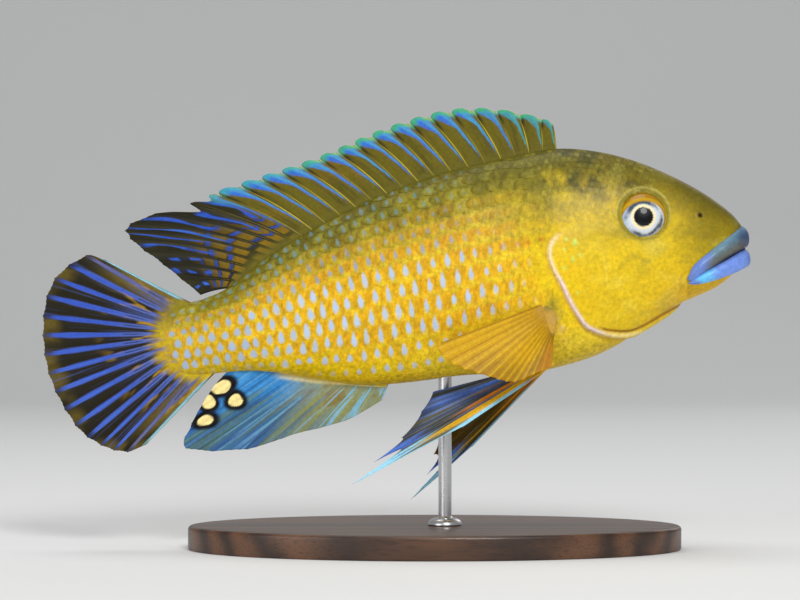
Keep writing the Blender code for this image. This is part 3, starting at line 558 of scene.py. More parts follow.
def marked_material(name, roughness, coat, grain, relief, speckle=0.12):
    """A skin finish: the painted markings, broken up by a fine mottle, with a wet sheen and fine bumps."""
    material, tree, shader = plain_material(name, (0.8, 0.6, 0.1), roughness)
    place = object_place(tree)
    mottle = noise(tree, place, grain, 4.0, 0.6)
    shade = remap(tree, mottle, 1.0 - speckle, 1.0 + speckle, 0.3, 0.7)
    pores = noise(tree, place, grain * PORE_GRAIN, 3.0)
    sockets = {
        "Base Color": scaled(tree, attribute_of(tree, "markings", "Color"), shade),
        "Roughness": remap(tree, mottle, roughness - 0.08, roughness + 0.10),
        "Specular IOR Level": WET_SPECULAR,
        "Coat Weight": coat,
        "Coat Roughness": WET_COAT_ROUGHNESS,
        "Normal": bump(tree, pores, relief, PORE_DEPTH),
    }
    wire(tree, shader, sockets)
    return material


def ring_faces(rows, ring, capped=True):
    """The faces of a tube of rows of points, each a ring, with a cap on each end."""
    row, spot = np.meshgrid(np.arange(rows - 1), np.arange(ring), indexing="ij")
    here, beside = row * ring + spot, row * ring + (spot + 1) % ring
    faces = np.stack([here, beside, beside + ring, here + ring], axis=-1).reshape(-1, 4).tolist()
    if capped:
        faces += [list(range(ring))[::-1], list(range((rows - 1) * ring, rows * ring))]
    return faces


def hide():
    """The whole skin as one closed tube, crowded where the head needs fine relief."""
    trunk = np.linspace(TAIL_END, HEAD_START, TRUNK_STATIONS, endpoint=False)
    stations = np.concatenate([trunk, np.linspace(HEAD_START, SNOUT_END, HEAD_STATIONS)])
    angles = np.arange(RING_STATIONS) * 2 * math.pi / RING_STATIONS
    along, angle = np.meshgrid(stations, angles, indexing="ij")
    points = hide_points(along, angle, -SKIN_DEPTH)
    rows = len(stations)
    ahead = np.gradient(points, axis=0)
    around = (np.roll(points, -1, axis=1) - np.roll(points, 1, axis=1)) / 2
    normals = np.cross(around, ahead)
    normals /= np.maximum(np.linalg.norm(normals, axis=-1, keepdims=True), 1e-9)
    outward = np.sum(normals * (points - points.mean(axis=1, keepdims=True)), axis=-1, keepdims=True)
    normals = np.where(outward < 0, -normals, normals)
    relief = hide_relief(points[..., 0], points[..., 2])
    points = points + normals * relief[..., None]
    steps = np.linalg.norm(np.diff(points, axis=1, append=points[:, :1]), axis=-1)
    arc = np.concatenate([np.zeros((rows, 1)), np.cumsum(steps, axis=1)], axis=1)
    arc -= arc[:, -1:] / 2
    colours = hide_colours(points[..., 0], points[..., 2])
    tail_tip = points[0].mean(axis=0) - (TAIL_CAP, 0, 0)
    snout_tip = points[-1].mean(axis=0) + (SNOUT_CAP, 0, 0)
    all_points = np.concatenate([points.reshape(-1, 3), [tail_tip, snout_tip]])
    colours = np.concatenate([colours.reshape(-1, 3), colours[0, :1], colours[-1, :1]])
    faces = [face[::-1] for face in ring_faces(rows, RING_STATIONS, capped=False)]
    last = (rows - 1) * RING_STATIONS
    for spot in range(RING_STATIONS):
        beside = (spot + 1) % RING_STATIONS
        faces.append((rows * RING_STATIONS, spot, beside))
        faces.append((rows * RING_STATIONS + 1, last + beside, last + spot))
    mesh = fish_mesh("skin", all_points, faces)
    add_markings(mesh, colours)
    unwrap = mesh.uv_layers.new(name="OFBake")
    where = [
        (stations[place], arc[place, spot + step])
        for row in range(rows - 1)
        for spot in range(RING_STATIONS)
        for place, step in ((row + 1, 0), (row + 1, 1), (row, 1), (row, 0))
    ]
    tail, snout = stations[0], stations[-1]
    for at_tail, at_snout in zip(arc[0, 1:], arc[-1, 1:]):
        where += [(tail - SNOUT_CAP, 0), (tail, at_tail - 0.1), (tail, at_tail)]
        where += [(snout + SNOUT_CAP, 0), (snout, at_snout), (snout, at_snout - 0.1)]
    where = (np.array(where, np.float32) + (-TAIL_END + 1.0, UNWRAP_SIZE / 2)) / UNWRAP_SIZE
    unwrap.data.foreach_set("uv", where.astype(np.float32).ravel())
    return mesh


skin_finish = marked_material("satin fish skin", 0.46, 0.08, 1200.0, 0.35, 0.18)
skin = show(
    hide(),
    skin_finish,
    ("head", "trunk", "tail_stalk", "gill_cover_right", "gill_cover_left"),
)


# The scales of the flank: thin overlapping plates in slanting rows, rooted in the skin in front and free
# behind. Most carry one pale blue spot, tall on the flank and round on the stalk of the tail.
ROW_PITCH = (
    (-50.0, 2.3), (-39.0, 2.45), (-22.0, 3.1), (-12.0, 3.7), (4.0, 4.05), (26.0, 4.1), (38.0, 3.5), (48.0, 2.6),
    (56.0, 2.0),
)
SCALE_PITCH = (
    (-50.0, 2.35), (-39.0, 2.5), (-14.0, 2.75), (4.0, 2.95), (30.0, 2.95), (40.0, 2.4), (48.0, 1.9), (56.0, 1.6),
)
ROW_START = ((-50.0, -4.2), (-37.0, -4.4), (-22.0, -4.8), (3.0, -4.5), (25.0, -3.2), (45.0, -2.0), (56.0, -1.0))
SCALE_REACH = 1.85
SCALE_WIDTH = 1.32
SCALE_CENTRE = 0.66
SCALE_LIFT = 0.09
FINE_STEP, FINE_PITCH = 1.20, 1.50
SCALE_SPAN, FINE_SPAN = (37.0, -48.4), (57.0, 17.0)
PLATE_ROUNDNESS, PLATE_TAPER, PLATE_BEVEL = 0.40, 0.18, 0.985
PLATE_ROOT, PLATE_RISE = -0.25, 1.25
SIZE_SPREAD, TONE_SPREAD, SPOT_STRAY = 0.06, 0.045, 0.22
ROUND_STEPS, TOP_GAP, UNDER_GAP = 400, 0.5, 0.3
COVER_TOP, COVER_REACH = 12.4, 30
BARE_STRIP, FINE_STRIP = -2.0, -3.9
FACE_START, FACE_TOP, CHIN_START, CHIN_TOP = 47, 15.5, 44, -8
FINE_LIFT = 0.28
UPPER_ROW, UPPER_SHRINK = 2.5, 0.92
SCALE_STATIONS = (0.0, 0.3, 0.55, 0.78, 0.93, 1.0)
SCALE_COLUMNS = (-1.0, -0.78, -0.4, 0.0, 0.4, 0.78, 1.0)
SCALE_PATCH, FINE_PATCH = 0.012, 0.007
SPOT_CORE, SPOT_EDGE = 0.50, 1.48
FLECK_GRAIN, FLECK_STRETCH = 1150.0, 0.38
SPOT_PALE = paint(0.75, 0.84, 0.97)
SPOT_DIM = paint(0.50, 0.59, 0.70)
SPOT_TURQUOISE = paint(0.30, 0.62, 0.66)
SCALE_EDGE_OLIVE = paint(0.30, 0.27, 0.06)
BACK_GLINT = paint(0.74, 0.72, 0.30)


def scale_pattern():
    """One scale, a closed plate with a rounded rear edge, one unit long and wide, as points and faces."""
    top = []
    for share in SCALE_STATIONS:
        for across in SCALE_COLUMNS:
            reach = 1 - PLATE_ROUNDNESS * abs(across) ** 2.4
            taper = 1 - PLATE_TAPER * (1 - math.sin(math.pi * min(1.0, share + 0.25)))
            top.append((share * reach, across * taper, PLATE_ROOT + PLATE_RISE * share))
    wide, long = len(SCALE_COLUMNS), len(SCALE_STATIONS)
    faces = []
    for row in range(long - 1):
        for column in range(wide - 1):
            here = row * wide + column
            faces.append((here, here + wide, here + wide + 1, here + 1))
    rim = list(range(wide))
    rim += [row * wide + wide - 1 for row in range(1, long)]
    rim += [(long - 1) * wide + column for column in range(wide - 2, -1, -1)]
    rim += [row * wide for row in range(long - 2, 0, -1)]
    points = list(top)
    for spot in rim:
        x, y, z = top[spot]
        points.append((x * PLATE_BEVEL + 0.005, y * PLATE_BEVEL, -1.0))
    first = len(top)
    for k in range(len(rim)):
        after = (k + 1) % len(rim)
        faces.append((rim[k], rim[after], first + after, first + k))
    faces.append(tuple(first + k for k in range(len(rim))))
    return np.array(points), faces


def row_heights(column, pitch):
    """How far round from the middle row each row of a column lies, and its pitch. Rows close up on the back."""
    rows = []
    for row in range(column % 2 - 12, 14, 2):
        above = max(0.0, -row - UPPER_ROW)
        shrunk = (1 - UPPER_SHRINK**above) / -math.log(UPPER_SHRINK)
        away = row if not above else -UPPER_ROW - shrunk
        rows.append((away * pitch, pitch * UPPER_SHRINK**above))
    return rows


def scale_places(side, fine):
    """Where each scale of one side grows: its place on the hide, its lie, its size and its unwrapped place."""
    places = []
    angles = np.linspace(0.02, math.pi - 0.02, ROUND_STEPS) * side
    along, last = FINE_SPAN if fine else SCALE_SPAN
    column = 0
    while along > last:
        pitch = FINE_PITCH if fine else float(smooth_rows(ROW_PITCH, [along])[0, 0])
        step = FINE_STEP if fine else float(smooth_rows(SCALE_PITCH, [along])[0, 0])
        line = hide_points(np.full(angles.shape, along), angles, -SKIN_DEPTH)
        ahead = hide_points(np.full(angles.shape, along + 0.5), angles, -SKIN_DEPTH)
        arc = np.concatenate([[0], np.cumsum(np.linalg.norm(np.diff(line, axis=0), axis=1))])
        start_height = float(smooth_rows(ROW_START, [along])[0, 0])
        start = np.interp(-start_height, -line[:, 2], arc)
        rows = row_heights(column, pitch)
        if fine:
            rows = [((2 * k + column % 2) * pitch - start, pitch) for k in range(int(arc[-1] / pitch / 2) + 1)]
        for away, tall in rows:
            where = start + away
            if not TOP_GAP < where < arc[-1] - UNDER_GAP:
                continue
            spot = np.interp(where, arc, np.arange(len(arc)))
            low = min(int(spot), len(arc) - 2)
            share = spot - low
            point = line[low] * (1 - share) + line[low + 1] * share
            forward = Vector(ahead[low] * (1 - share) + ahead[low + 1] * share) - Vector(point)
            down = Vector(line[low + 1]) - Vector(line[low])
            normal = forward.cross(down) * side
            if grows_scale(point, fine):
                places.append((point, forward.normalized(), normal.normalized(), step, tall, where - arc[-1], fine))
        along -= step / 2
        column += 1
    return places


def grows_scale(point, fine):
    """Whether a place carries scales. Nape and breast have fine ones, the face and gill covers none."""
    along, height = point[0], point[2]
    gill = float(line_distance(np.array([along]), np.array([height]), smooth_line(GILL_EDGE))[0])
    by_cover = height < COVER_TOP and along > COVER_REACH
    if by_cover and gill > BARE_STRIP:
        return False
    if height < CHIN_TOP and along > CHIN_START or along > FACE_START and height < FACE_TOP:
        return False
    on_nape = along > 33.5 - 0.12 * (height - 10)
    on_breast = height < -10.6 - 0.30 * (31 - along)
    return (on_nape or on_breast or by_cover and gill > FINE_STRIP) == fine


def stretched(tree, scale, turn=(0.0, 0.0, 0.0)):
    """The place on the object, turned and drawn out along its axes."""
    sockets = {"Vector": object_place(tree), "Scale": scale, "Rotation": turn}
    return add_node(tree, "ShaderNodeMapping", sockets).outputs["Vector"]


def product(tree, first, second):
    """One value times another."""
    return add_node(tree, "ShaderNodeMath", {0: first, 1: second}, operation="MULTIPLY").outputs["Value"]


def group_tree(name, inputs):
    """A geometry node tree that takes a mesh and other named inputs, and what its inputs hand on."""
    tree = bpy.data.node_groups.new(name, "GeometryNodeTree")
    face = tree.interface
    face.new_socket("Geometry", in_out="INPUT", socket_type="NodeSocketGeometry")
    for label, kind, value in inputs:
        socket = face.new_socket(label, in_out="INPUT", socket_type=kind)
        if value is not None:
            socket.default_value = value
    face.new_socket("Geometry", in_out="OUTPUT", socket_type="NodeSocketGeometry")
    return tree, tree.nodes.new("NodeGroupInput").outputs


def dress_and_leave(tree, shape, finish):
    """Gives a tree's shape its finish and hands it out."""
    dress = add_node(tree, "GeometryNodeSetMaterial", {"Geometry": shape, "Material": finish})
    add_node(tree, "NodeGroupOutput", {"Geometry": dress.outputs["Geometry"]})


def named(tree, name, kind="FLOAT"):
    """A value that the points carry under a name."""
    node = add_node(tree, "GeometryNodeInputNamedAttribute", {"Name": name}, data_type=kind)
    return node.outputs["Attribute"]


def scale_tree(pattern, ground):
    """Geometry nodes: sets the pattern on each point, lays it on the hide and gives it its finish."""
    inputs = (
        ("Pattern", "NodeSocketObject", pattern),
        ("Hide", "NodeSocketObject", ground),
        ("Lift", "NodeSocketFloat", SCALE_LIFT * MM),
        ("Finish", "NodeSocketMaterial", None),
    )
    tree, entry = group_tree("lay scales", inputs)
    plate, under = (
        add_node(tree, "GeometryNodeObjectInfo", {"Object": entry[label]}).outputs["Geometry"]
        for label in ("Pattern", "Hide")
    )

    def on_hide(label):
        field = add_node(tree, "GeometryNodeInput" + label, {}).outputs[label]
        sockets = {"Mesh": under, "Value": field}
        node = add_node(tree, "GeometryNodeSampleNearestSurface", sockets, data_type="FLOAT_VECTOR")
        return node.outputs["Value"]

    sockets = {
        "Points": entry["Geometry"],
        "Instance": plate,
        "Rotation": named(tree, "turn", "FLOAT_VECTOR"),
        "Scale": named(tree, "size", "FLOAT_VECTOR"),
    }
    plant = add_node(tree, "GeometryNodeInstanceOnPoints", sockets)
    real = add_node(tree, "GeometryNodeRealizeInstances", {"Geometry": plant.outputs["Instances"]})
    height = product(tree, product(tree, named(tree, "rise"), named(tree, "lift_share")), entry["Lift"])
    ground_place = on_hide("Position")
    sockets = {0: ground_place, 1: scaled(tree, on_hide("Normal"), height)}
    place = add_node(tree, "ShaderNodeVectorMath", sockets, operation="ADD").outputs["Vector"]
    lay = add_node(tree, "GeometryNodeSetPosition", {"Geometry": real.outputs["Geometry"], "Position": place})
    dress_and_leave(tree, lay.outputs["Geometry"], entry["Finish"])
    return tree


def grown(name, points, edges, attributes, tree, inputs):
    """Runs a node tree on a few points or lines and returns the result as one plain mesh."""
    seed = bpy.data.meshes.new(name)
    seed.from_pydata(points, edges, [])
    for label, kind, values in attributes:
        attribute = seed.attributes.new(label, kind, "POINT")
        field = "vector" if kind == "FLOAT_VECTOR" else "value"
        attribute.data.foreach_set(field, np.asarray(values, np.float32).ravel())
    holder = bpy.data.objects.new(name, seed)
    bpy.context.scene.collection.objects.link(holder)
    modifier = holder.modifiers.new(name, "NODES")
    modifier.node_group = tree
    for item in tree.interface.items_tree:
        if item.in_out == "INPUT" and item.name in inputs:
            modifier[item.identifier] = inputs[item.name]
    bpy.context.view_layer.update()
    evaluated = holder.evaluated_get(bpy.context.evaluated_depsgraph_get())
    mesh = bpy.data.meshes.new_from_object(evaluated)
    bpy.data.objects.remove(holder)
    bpy.data.meshes.remove(seed)
    mesh.name = name
    return mesh


def scale_finish():
    """The flank's markings broken up by upright flecks, with one pale spot on each scale that has one."""
    material = marked_material("spotted scales", 0.45, 0.10, 1200.0, 0.25, 0.20)
    tree = material.node_tree
    shader = tree.nodes["Principled BSDF"]
    ground = shader.inputs["Base Color"].links[0].from_socket
    split = add_node(tree, "ShaderNodeSeparateXYZ", {0: attribute_of(tree, "spot_place", "Vector")}).outputs
    flat = add_node(tree, "ShaderNodeCombineXYZ", {"X": split["X"], "Y": split["Y"]}).outputs["Vector"]
    far = add_node(tree, "ShaderNodeVectorMath", {0: flat}, operation="LENGTH").outputs["Value"]
    ragged = remap(tree, noise(tree, object_place(tree), 1400.0), -0.35, 0.35)
    edge = add_node(tree, "ShaderNodeMath", {0: far, 1: ragged}, operation="ADD").outputs["Value"]
    mask = remap(tree, edge, 1.0, 0.0, SPOT_CORE, SPOT_EDGE, interpolation_type="SMOOTHSTEP")
    flecks = noise(tree, stretched(tree, (1.0, 1.0, FLECK_STRETCH)), FLECK_GRAIN, 3.0, 0.65)
    sockets = {
        "Factor": product(tree, mask, split["Z"]),
        6: scaled(tree, ground, remap(tree, flecks, 0.74, 1.16, 0.32, 0.68)),
        7: attribute_of(tree, "spot_colour", "Color"),
    }
    mix = add_node(tree, "ShaderNodeMix", sockets, data_type="RGBA")
    wire(tree, shader, {"Base Color": mix.outputs[2]})
    return material


def scales(name, side, finish, tree, pattern_points):
    """All scales of one side as one mesh."""
    places = scale_places(side, False) + scale_places(side, True)
    lift = pitch_matrix()
    turn = lift.to_3x3()
    chance = np.random.default_rng(11 if side > 0 else 12)
    points, turns, sizes = [], [], []
    for point, forward, normal, step, pitch, _, _ in places:
        back = -(turn @ forward)
        out = turn @ normal
        across = out.cross(back).normalized()
        back = across.cross(out)
        frame_turn = Matrix((back, across, out)).transposed()
        points.append(tuple(lift @ (Vector(point) * MM)))
        turns.append(tuple(frame_turn.to_euler()))
        grow = 1 + SIZE_SPREAD * chance.uniform(-1, 1)
        sizes.append((SCALE_REACH * step * MM * grow, SCALE_WIDTH * pitch / 2 * MM * grow, 1.0))
    lifts = [FINE_LIFT if place[6] else 1.0 for place in places]
    seeds = [("turn", "FLOAT_VECTOR", turns), ("size", "FLOAT_VECTOR", sizes), ("lift_share", "FLOAT", lifts)]
    mesh = grown(name, points, [], seeds, tree, {"Finish": finish})
    count, each = len(places), len(pattern_points)
    flat = np.empty(len(mesh.vertices) * 3)
    mesh.vertices.foreach_get("co", flat)
    home = np.array(lift.inverted())
    inner = (flat.reshape(-1, 3) @ home[:3, :3].T + home[:3, 3]) / MM
    along, height = inner[:, 0], inner[:, 2]
    roots = np.array([place[0] for place in places])
    back, belly = body_lines(roots[:, 0])[:2]
    level = (roots[:, 2] - belly) / (back - belly)
    step = np.array([place[3] for place in places])
    pitch = np.array([place[4] for place in places])
    fine = np.array([place[6] for place in places])
    rear, front = ease(-14.0, -40.0, roots[:, 0]), ease(2.0, 30.0, roots[:, 0])
    upper, low = ease(0.52, 0.74, level), ease(0.30, 0.12, level)
    tall = (1.50 - 0.62 * rear - 0.62 * front) * (1 - 0.42 * upper) * (1 - 0.45 * low * (1 - rear))
    tall = tall * chance.uniform(0.74, 1.16, count)
    wide = (0.55 + 0.10 * rear - 0.12 * front) * (1 - 0.30 * upper) * chance.uniform(0.86, 1.12, count)
    strength = ease(32.0, 16.0, roots[:, 0]) * ease(0.03, 0.12, level) * (1 - 0.50 * ease(0.56, 0.80, level))
    strength = strength * (1 - ease(8.0, 22.0, roots[:, 0]) * ease(0.34, 0.22, level)) * (1 - front * upper)
    strength = np.where(fine, 0.0, strength * chance.uniform(0.85, 1.0, count))
    tile = np.tile(pattern_points, (count, 1))
    each_of = np.repeat(np.arange(count), each)
    stray = chance.uniform(-SPOT_STRAY, SPOT_STRAY, (2, count))[:, each_of]
    across = tile[:, 1] * SCALE_WIDTH * pitch[each_of] / 2 * side + stray[0]
    backward = (tile[:, 0] - SCALE_CENTRE) * SCALE_REACH * step[each_of] + stray[1]
    spot_y = across / tall[each_of]
    spot_x = (backward + 0.05 * across) / (wide[each_of] * (1 - 0.38 * np.clip(spot_y, -0.4, 1)))
    spot = np.stack([spot_x, spot_y, strength[each_of]], axis=1)
    attribute = mesh.attributes.new("spot_place", "FLOAT_VECTOR", "POINT")
    attribute.data.foreach_set("vector", spot.astype(np.float32).ravel())
    spot_colour = layers(
        SPOT_PALE,
        (SPOT_DIM, ease(0.55, 0.72, level) * 0.85 + chance.uniform(0, 0.2, count)),
        (SPOT_DIM, 0.45 * rear),
        (SPOT_TURQUOISE, ease(0.76, 0.90, level) * chance.uniform(0.2, 1.0, count)),
    )
    add_markings(mesh, spot_colour[each_of], "spot_colour")
    colour = hide_colours(along, height, 0.0)
    flank = ease(0.90, 0.66, level) * ease(0.10, 0.26, level) * ease(36.0, 20.0, roots[:, 0])
    flank = flank * np.where(fine, 0.0, 1.0)
    beside = ease(0.9, 1.8, np.abs(spot_x)) * ease(2.2, 1.2, np.abs(spot_y))
    dark_back = ease(0.60, 0.84, level)[each_of]
    rim = ease(0.80, 1.0, tile[:, 0] / (1 - PLATE_ROUNDNESS * np.abs(tile[:, 1]) ** 2.4))
    glint = chance.uniform(0, 1, count)[each_of] ** 1.5
    middle = (1 - rim) * ease(0.9, 0.2, np.abs(tile[:, 1]))
    colour = layers(
        colour,
        (WARM_ORANGE, 0.65 * beside * flank[each_of]),
        (PALE_YELLOW, 0.18 * ease(0.9, 1.5, np.abs(spot_y)) * flank[each_of]),
        (SCALE_EDGE_OLIVE, rim * (0.03 + 0.30 * dark_back)),
        (BACK_GLINT, 0.35 * glint * dark_back * middle * np.where(fine, 0.7, 1.0)[each_of]),
    )
    add_markings(mesh, colour * (1 + TONE_SPREAD * chance.uniform(-1, 1, (count, 1)))[each_of])
    unwrap = mesh.uv_layers.new(name="OFBake")
    corners = np.empty(len(mesh.loops), np.int32)
    mesh.loops.foreach_get("vertex_index", corners)
    far_side = np.array([place[5] for place in places]) * side
    centre = np.stack([roots[:, 0] - TAIL_END + 1.0, UNWRAP_SIZE / 2 + far_side], axis=1) / UNWRAP_SIZE
    patch = np.stack([-(tile[:, 0] - SCALE_CENTRE), tile[:, 1] * side * 0.5], axis=1)
    patch = patch * np.where(fine, FINE_PATCH, SCALE_PATCH)[each_of, None]
    patch = patch * np.where(tile[:, 2:3] < -0.9, 0.9, 1.0)
    where = (centre[each_of] + patch)[corners]
    unwrap.data.foreach_set("uv", where.astype(np.float32).ravel())
    return mesh


pattern_points, pattern_faces = scale_pattern()
pattern_mesh = bpy.data.meshes.new("scale_pattern")
flat_pattern = pattern_points.copy()
flat_pattern[:, 0] -= SCALE_CENTRE
flat_pattern[:, 2] = 0.0
pattern_mesh.from_pydata(flat_pattern, [], pattern_faces)
pattern_mesh.shade_smooth()
top_faces = (len(SCALE_STATIONS) - 1) * (len(SCALE_COLUMNS) - 1)
rim_keys = {tuple(sorted(key)) for face in pattern_mesh.polygons if face.index >= top_faces for key in face.edge_keys}
sharp = pattern_mesh.attributes.new("sharp_edge", "BOOLEAN", "EDGE")
sharp.data.foreach_set("value", [tuple(sorted(edge.vertices)) in rim_keys for edge in pattern_mesh.edges])
rise = pattern_mesh.attributes.new("rise", "FLOAT", "POINT")
rise.data.foreach_set("value", pattern_points[:, 2].astype(np.float32))
pattern = bpy.data.objects.new("scale_pattern", pattern_mesh)
bpy.context.scene.collection.objects.link(pattern)
lay_scales = scale_tree(pattern, skin)
spotted = scale_finish()
for label, side in (("scales_right", -1), ("scales_left", 1)):
    show(scales(label, side, spotted, lay_scales, pattern_points), spotted, ())
bpy.data.objects.remove(pattern)


# The eyes: glass balls with a painted back, set in the sockets of the skull. A silver iris with dark clouds
# and a cream ring lies round the black pupil, and the top of the ball is stained orange.
EYE_RADIUS, EYE_BULGE, EYE_SINK = 4.8, 2.75, 1.15
EYE_RINGS, EYE_SPOKES = 60, 128
GLASS_ROUGHNESS = 0.03
PUPIL_RADIUS, PUPIL_DROP, PUPIL_BACK = 2.05, 0.74, 0.38
IRIS_DROP, IRIS_LONG, IRIS_HIGH = 0.34, 4.45, 3.66
EYE_CLOUDS = (
    (2.35, 0.42, 3.15, 0.52, 0.95), (1.85, 0.50, 3.12, 0.40, 0.90), (1.40, 0.44, 3.12, 0.36, 0.90),
    (1.02, 0.32, 3.15, 0.42, 0.95), (0.55, 0.26, 3.45, 0.28, 0.60), (-0.45, 0.40, 3.90, 0.34, 0.95),
    (-0.85, 0.36, 3.50, 0.26, 0.80), (-1.22, 0.34, 3.65, 0.28, 0.85), (-1.75, 0.28, 3.70, 0.22, 0.60),
    (-2.10, 0.30, 3.50, 0.30, 0.85), (2.95, 0.20, 3.6, 0.34, 0.45),
)
IRIS_SILVER = paint(0.88, 0.90, 0.91)
IRIS_BLUE = paint(0.62, 0.74, 0.90)
IRIS_SLATE = paint(0.22, 0.26, 0.30)
PUPIL_CREAM = paint(1.0, 0.93, 0.74)
PUPIL_BLACK = paint(0.02, 0.02, 0.05)
BALL_ORANGE = paint(0.78, 0.61, 0.05)
BALL_BROWN = paint(0.58, 0.38, 0.04)


def turn_outward(mesh):
    """Turns each face of a closed mesh outward."""
    shape = bmesh.new()
    shape.from_mesh(mesh)
    bmesh.ops.recalc_face_normals(shape, faces=shape.faces)
    shape.to_mesh(mesh)
    shape.free()


def facing_turn(side):
    """Which way one eye looks, where its centre lies, and its directions up and ahead."""
    facing = Vector((EYE_FACING[0], EYE_FACING[1] * side, EYE_FACING[2])).normalized()
    out = float(side_of_body(np.array(EYE_ALONG), np.array(EYE_HEIGHT)))
    place = Vector((EYE_ALONG, out * side, EYE_HEIGHT)) - facing * EYE_SINK
    up = (Vector((0, 0, 1)) - facing * facing.z).normalized()
    ahead = facing.cross(up) if side > 0 else up.cross(facing)
    return facing, place, up, ahead.normalized()


def eyeball(name, side):
    """A closed ball, its front marked as an iris by polar places round the pupil."""
    facing, place, up, ahead = facing_turn(side)
    points, marks = [], []
    for ring in range(1, EYE_RINGS):
        tilt = math.pi * ring / EYE_RINGS
        for spoke in range(EYE_SPOKES):
            turn = 2 * math.pi * spoke / EYE_SPOKES
            x, y = (math.sin(tilt) * way(turn) * EYE_RADIUS for way in (math.cos, math.sin))
            depth = math.cos(tilt) * EYE_BULGE
            points.append(place + ahead * x + up * y + facing * depth)
            marks.append((x, y, depth))
    points += [place + facing * EYE_BULGE, place - facing * EYE_BULGE]
    marks += [(0, 0, EYE_BULGE), (0, 0, -EYE_BULGE)]
    faces = ring_faces(EYE_RINGS - 1, EYE_SPOKES, capped=False)
    front, last = len(points) - 2, (EYE_RINGS - 2) * EYE_SPOKES
    for spoke in range(EYE_SPOKES):
        beside = (spoke + 1) % EYE_SPOKES
        faces.append((front, beside, spoke))
        faces.append((front + 1, last + spoke, last + beside))
    mesh = fish_mesh(name, [tuple(point) for point in points], faces)
    turn_outward(mesh)
    x, y, _ = np.array(marks).T
    reach = np.hypot(x + PUPIL_BACK, y + PUPIL_DROP)
    angle = np.arctan2(y + PUPIL_DROP, x + PUPIL_BACK)
    iris = np.hypot((x + PUPIL_BACK) / IRIS_LONG, (y + PUPIL_DROP + IRIS_DROP) / IRIS_HIGH)
    streak = 0.5 + 0.5 * np.sin(angle * 37 + 2.0 * np.sin(angle * 5)) * np.sin(angle * 13 + reach)
    colour = layer(IRIS_SILVER, IRIS_BLUE, 0.25 * streak + 0.55 * ease(0.6, 1.0, iris) * ease(0.3, -0.9, np.cos(angle)))
    for middle, width, out, thick, dark in EYE_CLOUDS:
        gap = (angle - middle + math.pi) % (2 * math.pi) - math.pi
        cloud = hump(gap, 0.0, width) * hump(reach, out, thick)
        colour = layer(colour, IRIS_SLATE, np.clip(1.25 * dark * cloud * (0.8 + 0.5 * streak), 0, 0.92))
    colour = layers(
        colour,
        (PUPIL_CREAM, ease(0.44, 0.20, np.abs(reach - PUPIL_RADIUS - 0.22))),
        (BALL_ORANGE, ease(0.97, 1.05, iris)),
        (BALL_BROWN, ease(0.97, 1.03, iris) * ease(1.12, 1.02, iris) * 0.5),
        (BALL_BROWN, ease(1.16, 1.32, iris + 0.03 * streak) * 0.7),
        (PUPIL_BLACK, ease(PUPIL_RADIUS + 0.06, PUPIL_RADIUS - 0.10, reach)),
    )
    add_markings(mesh, colour)
    return mesh


glass_eye = marked_material("glass eye", 0.34, 0.22, 1500.0, 0.0, 0.05)
glass_eye.node_tree.nodes["Principled BSDF"].inputs["Coat Roughness"].default_value = GLASS_ROUGHNESS
for label, side in (("eye_right", -1), ("eye_left", 1)):
    show(eyeball(label + "_ball", side), glass_eye, (label,))


# The lips: two soft swollen rolls that meet in a bow round the snout and join at each corner of the mouth.
# The upper is blue grey shot with turquoise, the lower clear blue, and a dark line of painted shade parts them in
# front.
UPPER_LIP_FRONT, LOWER_LIP_FRONT, MOUTH_HALF_WIDTH = 74.6, 74.15, 6.5
LIP_THICKNESS, LIP_ROOT_DEPTH, MOUTH_GAP = 1.25, 1.3, 0.42
LIP_STATIONS, LIP_RING, LIP_TURN = 121, 36, 92
LIP_VIOLET = paint(0.42, 0.54, 0.82)
LIP_TURQUOISE = paint(0.39, 0.53, 0.60)
LIP_NAVY = paint(0.18, 0.25, 0.43)
LIP_BRONZE_SHADE = paint(0.40, 0.38, 0.30)
LIP_BLUE = paint(0.47, 0.60, 0.92)
LIP_CYAN = paint(0.42, 0.78, 0.98)


